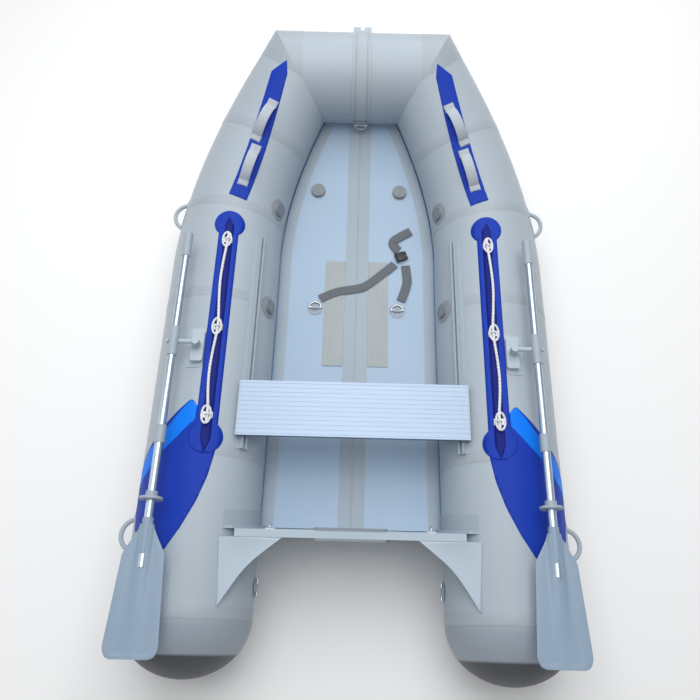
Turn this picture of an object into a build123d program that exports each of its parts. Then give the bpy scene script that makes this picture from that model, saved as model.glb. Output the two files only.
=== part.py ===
from build123d import *
from math import acos, asin, cos, degrees, radians, sin, tan
import os

# An inflatable dinghy with an air deck, a plywood transom, a sliding seat and two oars.
# Millimetres. +Y is the bow, +X is starboard and +Z is up. The origin lies on the
# ground, below the middle of the boat.

os.makedirs("parts", exist_ok=True)

# ---- hull: driving dimensions
LENGTH = 2523.0  # stern cone tips to the front of the bow tube
STERN_Y = -1270.0  # stern cone tips
BEAM = 1500.0  # over the side tubes
TUBE_R = 214.0  # side tubes, amidships and aft
BOW_R = 181.0  # the tubes taper to this at the bow
BOW_LIFT = 238.0  # how far the bow tube's axis rises above the side tubes' axis
BOW_HALF = 266.0  # half the length of the bow tube's axis, corner to middle
BEND_TURN = radians(37.0)  # how far a side tube turns inboard before its bow corner
CONE_LENGTH = 180.0
FABRIC = 1.2  # coated fabric of the chambers
GLUE = 0.2  # glue line under whatever is bonded to a tube

# ---- floor
DECK_DROP = 64.0  # deck surface below the tube axis
DECK_THICK = 70.0
DECK_SKIN = 1.2
SKIN_THICK = 1.6  # bottom fabric
SKIN_EDGE = 185.0  # where the bottom leaves the tubes, below their axis
KEEL_DEPTH = 21.0  # V of the bottom, edge to middle
KEEL_HALF = 78.0  # half the inflated keel's width
PAD_THICK = 4.0
STRIP_HALF = 48.0
STRIP_THICK = 1.4

# ---- transom
TRANSOM_Y = -830.0  # middle of the board
BOARD_THICK = 25.0
BOARD_TOP = 402.0
BOARD_BOTTOM = 32.0
BOARD_HALF = 376.0
RAKE = 9.0  # degrees that the board leans aft at its top
MOTOR_PAD = (240.0, 150.0)
MOTOR_PAD_THICK = 8.0
BOLT_R = 3.0
BOLT_HEAD = (7.0, 3.0)  # radius and thickness of a motor plate bolt's heads
BOLT_X = 90.0
BOLT_DROPS = (30.0, 120.0)  # below the top of the board
BOLT_SUNK = 0.2  # how far the heads sit below the faces of the plates
BOLT_FIT = 0.2
HOLDER_PAD = 3.0
HOLDER_LIP = 20.0
HOLDER_LIP_THICK = 9.0
DRAIN_X = 120.0
DRAIN_Z = 180.0
DRAIN_R = 14.0

# ---- seat and its rails
RAIL_LEAN = 45.0  # degrees inboard of a tube's crown
RAIL_AFT = -546.0
RAIL_FORE = 318.0
RAIL_FLANGE = 56.0
RAIL_FLANGE_THICK = 2.0
RAIL_WIDTH = 24.0
RAIL_HEIGHT = 15.0
RAIL_WALL = 3.0
RAIL_SLOT = 8.0
SLIDE_FIT = 0.4  # each way between the seat's runners and the rails
SEAT_Y = -406.0
SEAT_HALF = 400.0
SEAT_DEPTH = 200.0
SEAT_BASE = 391.0
SEAT_THICK = 18.0
SEAT_WALL = 2.0
SEAT_CELLS = 6
SEAT_RIBS = 12
SEAT_CAP = 5.0

# ---- oars and rowlocks
OAR_X = 637.0
OAR_Z = 476.0
ROWLOCK_Y = -192.0
ROWLOCK_X = 560.0
OAR_R = 14.0
OAR_WALL = 1.6
OAR_FORE = 255.0
OAR_NECK = -822.0  # where the shaft enters the blade
OAR_TIP = -1208.0
BLADE_WIDE = 164.0
BLADE_THICK = 6.0
GRIP_R = 17.0
GRIP_LENGTH = 104.0
DRIP_R = 37.0
DRIP_Y = -742.0
SLEEVE_LENGTH = 108.0
PIN_R = 4.0
POST_R = 8.0
PIN_FIT = 0.06  # radial clearance of the rowlock's pin and post
BASE_WIDE = 44.0
BASE_LONG = 120.0
BASE_TOP = 448.0
BOSS_TOP = 454.0

# ---- valves
VALVE_LEAN = 65.5
SIDE_VALVE_Y = 38.0
BOW_VALVE_Y = 530.0
FLOOR_VALVES = ((-178.0, 668.0), (178.0, 668.0))
VALVE_FLANGE_R = 44.0
VALVE_BARREL_R = 25.0
VALVE_BORE_R = 20.0
VALVE_DEEP = 26.0
VALVE_PROUD = 7.0
CAP_R = 27.0
CAP_THICK = 7.0
CAP_FIT = 0.08

# ---- trim and fittings
STRIP_X = 500.0  # lifeline strips, middle
STRIP_WIDE = 74.0
STRIP_AFT = -520.0
STRIP_DISC_Y = 336.0
STRIP_DISC_R = 58.0
PATCH = 1.6  # thickness of bonded reinforcement
EYE_YS = (258.0, -112.0, -445.0)
EYE_RING = 9.5
EYE_WIRE = 2.5
ROPE_R = 4.75
GRAB_AFT = (480.0, 460.0)
GRAB_FORE = (335.0, 960.0)
GRAB_WIDE = 72.0
LOOP_SPAN = 132.0
LOOP_WIDE = 40.0
LOOP_RISE = 34.0
LOOP_THICK = 3.0
LOOP_SHARES = (0.27, 0.63)
HANDLE_YS = (452.0, -826.0)
HANDLE_LEAN = -82.0
HANDLE_SPAN = 108.0
HANDLE_RISE = 50.0
HANDLE_R = 8.0
PANEL_AFT = -905.0
PANEL_FORE = -385.0
STRAKE_WIDE = 78.0
STRAKE_RIB = 43.0
STRAKE_THICK = 3.0
FAIRLEAD_PROUD = 36.0
FAIRLEAD_WIDE = 76.0
FAIRLEAD_TALL = 46.0
FAIRLEAD_SLOT = 16.0
FAIRLEAD_DEEP = 24.0  # how far the slot runs in from the front
FAIRLEAD_FLOOR = 12.0
FAIRLEAD_RISE = 38.0  # its foot, above the bow tube's axis
RING_R = 24.0
RING_WIRE = 3.0
RING_BAR = 0.5  # how much thicker a ring's straight side is
STERN_RING_Y = -985.0
BOW_RING_TILT = 28.0  # how far below the bow tube's middle its ring sits, in degrees
STRAP_EYES = ((-169.0, 118.0), (170.0, 112.0))
STRAP_WIDE = 38.0
STRAP_THICK = 2.0

# ---- worked out
TUBE_X = BEAM / 2 - TUBE_R
BOW_Z = TUBE_R + BOW_LIFT
BOW_Y = STERN_Y + LENGTH - BOW_R
BEND_R = (TUBE_X - BOW_HALF) / (1 - cos(BEND_TURN))
BEND_Y = BOW_Y - BEND_R * sin(BEND_TURN)
SEAM_Y = STERN_Y + CONE_LENGTH  # where a stern cone joins its tube
FAIRLEAD_FRONT = BOW_Y + BOW_R + FAIRLEAD_PROUD
FAIRLEAD_LOW = BOW_Z + FAIRLEAD_RISE
BOARD_FOOT_Y = TRANSOM_Y + (BOARD_TOP - BOARD_BOTTOM) * sin(radians(RAKE))
DECK_AFT = TRANSOM_Y  # cut back to the board's face
SKIN_AFT = BOARD_FOOT_Y - BOARD_THICK / 2 - 6.0
DECK_FORE = BOW_Y - 100.0
PAD_TOP = PAD_THICK - DECK_DROP
DRAIN_HINGE = (DRAIN_X, TRANSOM_Y - BOARD_THICK / 2 - 8.0, DRAIN_Z + 28.0)

PARTS = {}


def turn_at(y):
    """Angle that a side tube has turned inboard, abreast of y."""
    return asin(min(1.0, (y - BEND_Y) / BEND_R)) if y > BEND_Y else 0.0


def rise_at(y):
    """Height of the tube axis above its straight run, abreast of y."""
    return BOW_LIFT * (turn_at(y) / BEND_TURN) ** 2


def radius_at(y):
    return TUBE_R + (BOW_R - TUBE_R) * turn_at(y) / BEND_TURN


def axis_x(y):
    return TUBE_X - BEND_R * (1 - cos(turn_at(y)))


def station(y):
    """Plane across the starboard tube: local x outboard, local y up, looking forward."""
    turn = turn_at(y)
    climb = 2 * BOW_LIFT * turn / BEND_TURN**2 / BEND_R
    along = Vector(-sin(turn), cos(turn), climb).normalized()
    return Plane((axis_x(y), y, TUBE_R + rise_at(y)), x_dir=(cos(turn), sin(turn), 0), z_dir=-along)


def surface(y, lean, lift=0.0):
    """Plane on the starboard tube, lean degrees inboard of its crown; local x runs forward."""
    cut = station(y)
    up = cut.y_dir * (1 if cut.y_dir.Z > 0 else -1)
    normal = up * cos(radians(lean)) - cut.x_dir * sin(radians(lean))
    place = cut.origin + normal * (radius_at(y) + lift)
    return Plane(place, x_dir=-cut.z_dir, z_dir=normal)


def above(x, y, lift=0.0):
    """Plane on top of the starboard tube whose origin lies at x, y in plan."""
    along, lean = y, 0.0
    for _ in range(30):
        place = surface(along, lean, lift)
        along += 0.7 * (y - place.origin.Y)
        lean += 0.7 * degrees((place.origin.X - x) / TUBE_R)
    return surface(along, lean, lift)


def port(shape):
    return mirror(shape, about=Plane.YZ)


# ---- tubes
CORNER = station(BOW_Y)
CORNER_WAY = -CORNER.z_dir
MITRE_NORMAL = (CORNER_WAY + Vector(-1, 0, 0)).normalized()
MITRE = Plane(CORNER.origin, z_dir=MITRE_NORMAL)
HALF_MITRE = acos(min(1.0, CORNER_WAY.dot(MITRE_NORMAL)))
NOSE = (BOW_R + 12.0) * tan(HALF_MITRE) + 20.0


def tube_body(grown=0.0):
    """The starboard tube as a solid, its radius grown by the given amount."""
    straight = extrude(station(BEND_Y) * Circle(TUBE_R + grown), BEND_Y - SEAM_Y)
    steps = [BEND_TURN * i / 6 for i in range(7)]
    rings = [BEND_Y + BEND_R * sin(step) for step in steps]
    bend = loft([station(y) * Circle(radius_at(y) + grown) for y in rings])
    nose = extrude(CORNER * Circle(BOW_R + grown), -NOSE)
    return split(straight + bend + nose, bisect_by=MITRE, keep=Keep.BOTTOM)


def bow_body(grown=0.0):
    """The bow tube as a solid between its two mitred corners."""
    reach = BOW_HALF + NOSE
    bar = Pos(0, BOW_Y, BOW_Z) * Rot(0, 90, 0) * Cylinder(BOW_R + grown, 2 * reach)
    half = split(bar, bisect_by=MITRE, keep=Keep.TOP) & Pos(reach, BOW_Y, BOW_Z) * Box(2 * reach, 900, 900)
    return half + port(half)


def cone_body(grown=0.0):
    """A stern cone as a solid: half an egg behind the tube's last seam."""
    wide, deep = TUBE_R + grown, CONE_LENGTH + grown
    quarter = Ellipse(wide, deep) & Pos(wide / 2, -deep / 2) * Rectangle(wide, deep)
    at_seam = Plane((TUBE_X, SEAM_Y, TUBE_R))
    return revolve(at_seam * quarter, Axis((TUBE_X, 0, TUBE_R), (0, 1, 0)))


OUTER = tube_body()
BOW_OUTER = bow_body()
LAYERS = {}


def layer(thickness):
    """A skin of the given thickness all round the starboard tube, outside its glue line."""
    if thickness not in LAYERS:
        LAYERS[thickness] = tube_body(GLUE + thickness) - tube_body(GLUE)
    return LAYERS[thickness]


def patch(outline, thickness=PATCH):
    """Reinforcement on top of the starboard tube, cut to an outline in plan."""
    prism = extrude(Pos(0, 0, TUBE_R + 12) * outline, 900)
    return layer(thickness) & prism


def round_patch(place, radius, thickness=PATCH):
    return layer(thickness) & place * Cylinder(radius, 90)


def tube_pieces():
    bores = [surface(y, VALVE_LEAN) * Cylinder(VALVE_BARREL_R + 0.3, 60) for y in (SIDE_VALVE_Y, BOW_VALVE_Y)]
    starboard = OUTER - tube_body(-FABRIC)
    for bore in bores:
        starboard -= bore
    PARTS["tube_starboard"] = starboard
    PARTS["tube_port"] = port(starboard)
    PARTS["tube_bow"] = BOW_OUTER - bow_body(-FABRIC)
    cone = cone_body() - cone_body(-FABRIC)
    PARTS["stern_cone_starboard"] = cone
    PARTS["stern_cone_port"] = port(cone)
    wall = Plane(MITRE.origin - MITRE.z_dir * 6, z_dir=MITRE.z_dir) * Box(900, 900, FABRIC)
    baffle = tube_body(-FABRIC - GLUE) & wall
    PARTS["chamber_baffles"] = Compound(children=[*baffle.solids(), *port(baffle).solids()])


# ---- floor
def band(y_aft, y_fore, low, high, x_min, x_max):
    """A plank that follows the rise of the tubes; low and high are from the tube axis."""
    ys = [BEND_Y + (y_fore - BEND_Y) * i / 6 for i in range(7)] if y_fore > BEND_Y + 40 else [y_fore]

    def edge(height):
        points = [(y, TUBE_R + height + rise_at(y)) for y in ys]
        start = (y_aft, TUBE_R + height)
        if len(points) == 1:
            return [Line(start, points[0])]
        return [Line(start, points[0]), Spline(*points, tangents=[(1, 0), (1, slope)])]

    gap = 5.0
    slope = (rise_at(y_fore) - rise_at(y_fore - gap)) / gap
    under, over = edge(low), edge(high)
    ends = [Line(under[0] @ 0, over[0] @ 0), Line(under[-1] @ 1, over[-1] @ 1)]
    profile = make_face([*under, *over, *ends])
    return extrude(Plane.YZ.offset(x_min) * profile, x_max - x_min)


def between_axes():
    """Everything between the axes of the tubes, from the transom to the bow tube."""
    aft = TRANSOM_Y - 60
    mid_turn = BEND_TURN / 2
    mid = (TUBE_X - BEND_R * (1 - cos(mid_turn)), BEND_Y + BEND_R * sin(mid_turn))
    side = Line((TUBE_X, aft), (TUBE_X, BEND_Y))
    bend = ThreePointArc((TUBE_X, BEND_Y), mid, (BOW_HALF, BOW_Y))
    front = Line((BOW_HALF, BOW_Y), (0, BOW_Y))
    back = Line((0, aft), (TUBE_X, aft))
    centre = Line((0, BOW_Y), (0, aft))
    half = extrude(make_face([side, bend, front, centre, back]), 900)
    return half + port(half)


def clear_of_tubes(shape, gap=GLUE):
    """What is left of a shape between the tubes."""
    side = tube_body(gap)
    return (shape & between_axes()) - side - port(side) - bow_body(gap)


def biggest(shape):
    return max(shape.solids(), key=lambda solid: solid.volume)


def skin_solid():
    """The bottom: a shallow V that rises with the tubes and meets the bow tube's underside."""
    ys = [SKIN_AFT, BEND_Y] + [BEND_Y + (BOW_Y - BEND_Y) * i / 6 for i in range(1, 7)]
    sections = []
    for y in ys:
        share = turn_at(y) / BEND_TURN
        edge = TUBE_R + rise_at(y) - SKIN_EDGE + (SKIN_EDGE - BOW_R - SKIN_THICK - 0.4) * share
        middle = edge - KEEL_DEPTH * (1 - share)
        wide = axis_x(y) - 40
        low = [(-wide, edge), (0, middle), (wide, edge)]
        high = [(x, z + SKIN_THICK) for x, z in reversed(low)]
        outline = make_face(Polyline(*low, *high, close=True))
        sections.append(Plane((0, y, 0), x_dir=(1, 0, 0), z_dir=(0, -1, 0)) * outline)
    return biggest(clear_of_tubes(loft(sections, ruled=True)))


def keel_solid(wall=0.0):
    """The inflated keel between the bottom and the deck, as a tapering flattened tube."""
    ys = [BOARD_FOOT_Y + 20 + wall, BEND_Y] + [BEND_Y + (820 - wall - BEND_Y) * i / 4 for i in range(1, 5)]
    sections = []
    for y in ys:
        share = turn_at(y) / BEND_TURN
        roof = TUBE_R + rise_at(y) - DECK_DROP - DECK_THICK - 2.6
        floor = TUBE_R + rise_at(y) - SKIN_EDGE - KEEL_DEPTH * (1 - share) + SKIN_THICK + 4.5
        oval = Ellipse(KEEL_HALF * (1 - 0.3 * share) - wall, (roof - floor) / 2 - wall)
        sections.append(Plane((0, y, (roof + floor) / 2), x_dir=(1, 0, 0), z_dir=(0, -1, 0)) * oval)
    return loft(sections, ruled=True)


def floor_pieces():
    low, high = -DECK_DROP - DECK_THICK, -DECK_DROP
    deck = clear_of_tubes(band(DECK_AFT, DECK_FORE, low, high, -TUBE_X, TUBE_X))
    air = band(DECK_AFT + 2, DECK_FORE - 4, low + DECK_SKIN, high - DECK_SKIN, -TUBE_X, TUBE_X)
    board = raked(board_slab(2.0, 400.0))
    deck = biggest(deck - board - holder_room(1.0))
    air = biggest(clear_of_tubes(air, GLUE + DECK_SKIN + 1) - raked(board_slab(2.0 + DECK_SKIN, 400.0)))
    deck -= air - holder_room(1.0 + DECK_SKIN)
    for x, y in FLOOR_VALVES:
        deck -= floor_place(x, y) * Cylinder(VALVE_BARREL_R + 0.3, 60)
    PARTS["air_deck"] = deck
    strip = band(DECK_AFT, DECK_FORE, high, high + STRIP_THICK, -STRIP_HALF, STRIP_HALF)
    PARTS["deck_strip"] = biggest(strip - bow_body(STRAKE_THICK + GLUE) - board)
    pad = band(-140, 340, high, PAD_TOP, STRIP_HALF + 1, 132)
    PARTS["deck_pads"] = Compound(children=[*pad.solids(), *port(pad).solids()])
    PARTS["bottom_skin"] = skin_solid()
    PARTS["keel_tube"] = keel_solid() - keel_solid(FABRIC)
    below = -SKIN_EDGE - KEEL_DEPTH
    strake = band(SKIN_AFT + 2, 640, below - 3.4, below - 0.4, -30, 30)
    PARTS["keel_strake"] = strake


def floor_place(x, y, lift=0.0):
    """Plane on the deck's surface at a place in plan; local x runs forward."""
    slope = (rise_at(y + 5) - rise_at(y - 5)) / 10
    along = Vector(0, 1, slope).normalized()
    normal = Vector(1, 0, 0).cross(along)
    return Plane(Vector(x, y, TUBE_R - DECK_DROP + rise_at(y)) + normal * lift, x_dir=along, z_dir=normal)


# ---- transom
def raked(shape):
    """Lean a piece of the transom, modelled upright, about the middle of the board's top."""
    return Pos(0, TRANSOM_Y, BOARD_TOP) * Rot(RAKE, 0, 0) * Pos(0, -TRANSOM_Y, -BOARD_TOP) * shape


def board_slab(ahead, behind):
    """An upright slab that covers the board, and more ahead of it and behind it."""
    deep = BOARD_THICK + ahead + behind
    return Pos(0, TRANSOM_Y + (ahead - behind) / 2, BOARD_TOP / 2) * Box(2 * TUBE_X, deep, 2 * BOARD_TOP)


def around_tube(grown):
    return Pos(TUBE_X, TRANSOM_Y, TUBE_R) * Rot(90, 0, 0) * Cylinder(TUBE_R + grown, 600)


def holder_room(gap):
    """The space that both transom holders take."""
    lips = HOLDER_LIP_THICK + gap
    ring = around_tube(HOLDER_PAD + HOLDER_LIP + gap) & raked(board_slab(lips, lips))
    pad = around_tube(HOLDER_PAD + gap) & raked(board_slab(60 + gap, 60))
    return ring + pad + port(ring + pad)


def transom_pieces():
    fore, aft = TRANSOM_Y + BOARD_THICK / 2, TRANSOM_Y - BOARD_THICK / 2
    middle = (BOARD_TOP + BOARD_BOTTOM) / 2
    blank = Pos(0, TRANSOM_Y, middle) * Box(2 * BOARD_HALF, BOARD_THICK, BOARD_TOP - BOARD_BOTTOM)
    bed = around_tube(HOLDER_PAD + 0.3)
    drain = Pos(DRAIN_X, TRANSOM_Y, DRAIN_Z) * Rot(90, 0, 0) * Cylinder(DRAIN_R + 0.3, 60)
    bolts = [(x, BOARD_TOP - drop) for x in (-BOLT_X, BOLT_X) for drop in BOLT_DROPS]
    holes = [bolt(x, z, BOLT_FIT) for x, z in bolts]
    board = blank - drain
    wide, tall = MOTOR_PAD
    front = extrude(Plane.XZ * RectangleRounded(wide, tall, 12), -MOTOR_PAD_THICK)
    outer = Pos(0, aft - MOTOR_PAD_THICK, BOARD_TOP + 2 - tall / 2) * front
    inner = Pos(0, fore, BOARD_TOP + 2 - tall / 2) * front
    for hole in holes:
        board -= hole
        outer -= hole
        inner -= hole
    PARTS["transom_board"] = raked(board) - bed - port(bed)
    PARTS["motor_plate_outer"] = raked(outer)
    PARTS["motor_plate_inner"] = raked(inner)
    PARTS["motor_plate_bolts"] = Compound(children=[s for x, z in bolts for s in raked(bolt(x, z)).solids()])

    lips = around_tube(HOLDER_PAD + HOLDER_LIP) & raked(board_slab(HOLDER_LIP_THICK, HOLDER_LIP_THICK))
    pad = around_tube(HOLDER_PAD) & raked(board_slab(60, 60))
    slot = raked(board_slab(0.05, 0.05)) - around_tube(HOLDER_PAD)
    tall = BOARD_TOP - 48
    sector = Pos(TUBE_X - TUBE_R + 95, TRANSOM_Y, BOARD_TOP - 6 - tall / 2) * Box(250, 500, tall)
    holder = biggest((lips + pad - around_tube(GLUE) - slot) & sector)
    PARTS["transom_holders"] = Compound(children=[holder, *port(holder).solids()])

    height = BOARD_TOP - 1
    corners = [(222, aft, height), (432, aft, height), (414, -1058, height - 9)]
    web = extrude(make_face(Polyline(*corners, close=True)), 1.4, dir=(0, 0, -1)) - tube_body(GLUE)
    web = biggest(web - raked(board_slab(0.2, 0.2)) - holder_room(0.2))
    PARTS["transom_gussets"] = Compound(children=[web, *port(web).solids()])

    eye = Pos(265, fore + 2, BOARD_TOP - 40) * Box(30, 4, 46)
    bail = Pos(265, fore + 6, BOARD_TOP - 40) * Rot(0, 90, 0) * Torus(13, 3)
    eye = raked(eye + (bail & Pos(265, fore + 54, BOARD_TOP - 40) * Box(60, 100, 60)))
    PARTS["transom_eyes"] = Compound(children=[*eye.solids(), *port(eye).solids()])

    axis = Pos(DRAIN_X, TRANSOM_Y, DRAIN_Z) * Rot(90, 0, 0)
    pipe = axis * Cylinder(DRAIN_R, BOARD_THICK + 4)
    flange = Pos(DRAIN_X, aft - 2, DRAIN_Z) * Rot(90, 0, 0) * Cylinder(25, 4)
    inside = Pos(DRAIN_X, fore + 1.5, DRAIN_Z) * Rot(90, 0, 0) * Cylinder(22, 3)
    ears = [Pos(DRAIN_X + side * 11, aft - 7, DRAIN_Z + 26) * Box(5, 12, 12) for side in (-1, 1)]
    body = pipe + flange + inside + ears[0] + ears[1] - axis * Cylinder(DRAIN_R - 3, 80)
    pin_way = Pos(*DRAIN_HINGE) * Rot(0, 90, 0)
    PARTS["drain_valve"] = raked(body - pin_way * Cylinder(1.56, 40))
    flap = Pos(DRAIN_X, aft - 6.4, DRAIN_Z) * Rot(90, 0, 0) * Cylinder(19, 4)
    arm = Pos(DRAIN_X, aft - 7.4, DRAIN_Z + 20) * Box(14, 6, 15)
    PARTS["drain_flap"] = raked(flap + arm + pin_way * Cylinder(1.5, 30))


def bolt(x, z, room=0.0):
    """A through bolt with a head sunk in each motor plate, or with room the hole that it takes."""
    face = BOARD_THICK / 2 + MOTOR_PAD_THICK
    wide, thick = BOLT_HEAD
    seat = face - BOLT_SUNK - thick
    top = face + room if room else face - BOLT_SUNK
    way = Pos(x, TRANSOM_Y, z) * Rot(90, 0, 0)
    head = Cylinder(wide + room, top - seat)
    heads = Pos(0, 0, (top + seat) / 2) * head + Pos(0, 0, -(top + seat) / 2) * head
    return way * (Cylinder(BOLT_R + room, 2 * seat) + heads)


# ---- seat
def seat_pieces():
    slant = surface(0, RAIL_LEAN, GLUE)
    at_fore = Plane((slant.origin.X, RAIL_FORE, slant.origin.Z), x_dir=-slant.y_dir, z_dir=(0, -1, 0))
    out = 1 if (at_fore.y_dir.dot(slant.z_dir)) > 0 else -1
    length = RAIL_FORE - RAIL_AFT
    base = RAIL_FLANGE_THICK
    cavity = (RAIL_WIDTH - 2 * RAIL_WALL, RAIL_HEIGHT - 2 * RAIL_WALL)
    box = Pos(0, out * (base - 1 + RAIL_HEIGHT / 2)) * Rectangle(RAIL_WIDTH, RAIL_HEIGHT)
    hole = Pos(0, out * (base - 1 + RAIL_HEIGHT / 2)) * Rectangle(*cavity)
    slot = Pos(0, out * (base - 1 + RAIL_HEIGHT)) * Rectangle(RAIL_SLOT, RAIL_HEIGHT)
    tube = Pos(TUBE_X, 0, TUBE_R) * Rot(90, 0, 0)
    sector = Pos(TUBE_X, (RAIL_FORE + RAIL_AFT) / 2, TUBE_R) * Rot(0, RAIL_LEAN * -1, 0)
    ring = tube * Cylinder(TUBE_R + GLUE + base, 3000) - tube * Cylinder(TUBE_R + GLUE, 3000)
    flange = ring & sector * Pos(0, 0, TUBE_R) * Box(RAIL_FLANGE, length, 60)
    channel = extrude(at_fore * (box - hole - slot), length) - tube * Cylinder(TUBE_R + GLUE, 3000)
    rail = flange + channel
    PARTS["seat_rail_starboard"] = rail
    PARTS["seat_rail_port"] = port(rail)

    plank = Pos(0, SEAT_Y, SEAT_BASE + SEAT_THICK / 2) * Box(2 * SEAT_HALF, SEAT_DEPTH, SEAT_THICK)
    cell = (SEAT_DEPTH - SEAT_WALL * (SEAT_CELLS + 1)) / SEAT_CELLS
    step = cell + SEAT_WALL
    first = SEAT_Y - SEAT_DEPTH / 2 + SEAT_WALL + cell / 2
    for i in range(SEAT_CELLS):
        core = Box(2 * SEAT_HALF + 2, cell, SEAT_THICK - 2 * SEAT_WALL)
        plank -= Pos(0, first + i * step, SEAT_BASE + SEAT_THICK / 2) * core
    pitch = (SEAT_DEPTH - 16) / (SEAT_RIBS - 1)
    for i in range(SEAT_RIBS):
        y = SEAT_Y - SEAT_DEPTH / 2 + 8 + i * pitch
        plank += Pos(0, y, SEAT_BASE + SEAT_THICK + 0.4) * Box(2 * SEAT_HALF, 3, 0.8)
    PARTS["seat_plank"] = plank

    at_end = Pos(SEAT_HALF + SEAT_CAP / 2, SEAT_Y, SEAT_BASE + SEAT_THICK / 2)
    cap = at_end * Box(SEAT_CAP, SEAT_DEPTH, SEAT_THICK)
    for i in (0, SEAT_CELLS - 1):
        plug = Box(16, cell - 0.4, SEAT_THICK - 2 * SEAT_WALL - 0.4)
        cap += Pos(SEAT_HALF - 7, first + i * step, SEAT_BASE + SEAT_THICK / 2) * plug
    PARTS["seat_end_caps"] = Compound(children=[*cap.solids(), *port(cap).solids()])

    runner_fore = SEAT_Y + SEAT_DEPTH / 2 - 4
    at_seat = Plane((slant.origin.X, runner_fore, slant.origin.Z), x_dir=at_fore.x_dir, z_dir=(0, -1, 0))
    runner = SEAT_DEPTH - 8
    head_high = cavity[1] - 2 * SLIDE_FIT
    centre = base - 1 + RAIL_HEIGHT / 2
    head = Pos(0, out * centre) * Rectangle(cavity[0] - 2 * SLIDE_FIT, head_high)
    neck_top = base - 1 + RAIL_HEIGHT + 24
    neck = Pos(0, out * (centre + neck_top) / 2) * Rectangle(RAIL_SLOT - 2 * SLIDE_FIT, neck_top - centre)
    runner_solid = extrude(at_seat * (head + neck), runner)
    below = Pos(0, 0, SEAT_BASE - 200) * Box(2000, 3000, 400)
    foot = Pos(slant.origin.X - 36, SEAT_Y, SEAT_BASE - 2.5) * Box(64, runner, 5)
    runner_solid = biggest((runner_solid & below) + foot)
    PARTS["seat_runners"] = Compound(children=[runner_solid, *port(runner_solid).solids()])


# ---- oars
def oar_axis(y):
    return Pos(OAR_X, y, OAR_Z) * Rot(90, 0, 0)


def along_oar(radius, y_aft, y_fore):
    return oar_axis((y_aft + y_fore) / 2) * Cylinder(radius, y_fore - y_aft)


def oar_pieces():
    pin = Pos(OAR_X, ROWLOCK_Y, OAR_Z) * Rot(0, 90, 0)
    pin_bore = pin * Cylinder(PIN_R + PIN_FIT, 90)
    shaft_aft = OAR_NECK - 130
    shaft = along_oar(OAR_R, shaft_aft, OAR_FORE - 4) - along_oar(OAR_R - OAR_WALL, shaft_aft - 5, OAR_FORE)
    shaft = shaft - pin_bore

    sleeve = along_oar(GRIP_R, ROWLOCK_Y - SLEEVE_LENGTH / 2, ROWLOCK_Y + SLEEVE_LENGTH / 2)
    grip = along_oar(GRIP_R, OAR_FORE - GRIP_LENGTH, OAR_FORE)
    grip = fillet(grip.edges().filter_by(GeomType.CIRCLE), 4)
    hollow = along_oar(OAR_R + 0.05, -900, OAR_FORE - 4)
    drip = along_oar(DRIP_R, DRIP_Y - 4, DRIP_Y + 4) + along_oar(GRIP_R + 2, DRIP_Y - 4, DRIP_Y + 22)
    fittings = [sleeve - hollow - pin_bore, grip - hollow, drip - hollow]
    joiner = along_oar(OAR_R + 3, -560, -500) - hollow
    fittings.append(joiner)

    long_way = OAR_NECK - OAR_TIP
    half = BLADE_WIDE / 2
    corners = [(22, OAR_NECK), (half, OAR_NECK - 0.42 * long_way), (half, OAR_TIP + 26), (half - 34, OAR_TIP)]
    outline = Polyline(*corners, *[(-x, y) for x, y in reversed(corners)], close=True)
    sheet = make_face(outline)
    sheet = fillet(sheet.vertices(), 14)
    blade = Pos(OAR_X, 0, OAR_Z - BLADE_THICK / 2) * extrude(sheet, BLADE_THICK)
    rib = oar_axis(OAR_NECK + 20 - 160) * Cone(5, OAR_R + 3, 320, rotation=(180, 0, 0))
    blade = blade + rib - along_oar(OAR_R + 0.05, shaft_aft - 0.1, OAR_NECK + 40)
    for side, name in ((1, "starboard"), (-1, "port")):
        flip = port if side < 0 else (lambda shape: shape)
        PARTS[f"oar_shaft_{name}"] = flip(shaft)
        PARTS[f"oar_blade_{name}"] = flip(biggest(blade))
        flipped = [flip(piece) for piece in fittings]
        PARTS[f"oar_fittings_{name}"] = Compound(children=[s for piece in flipped for s in piece.solids()])


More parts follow.
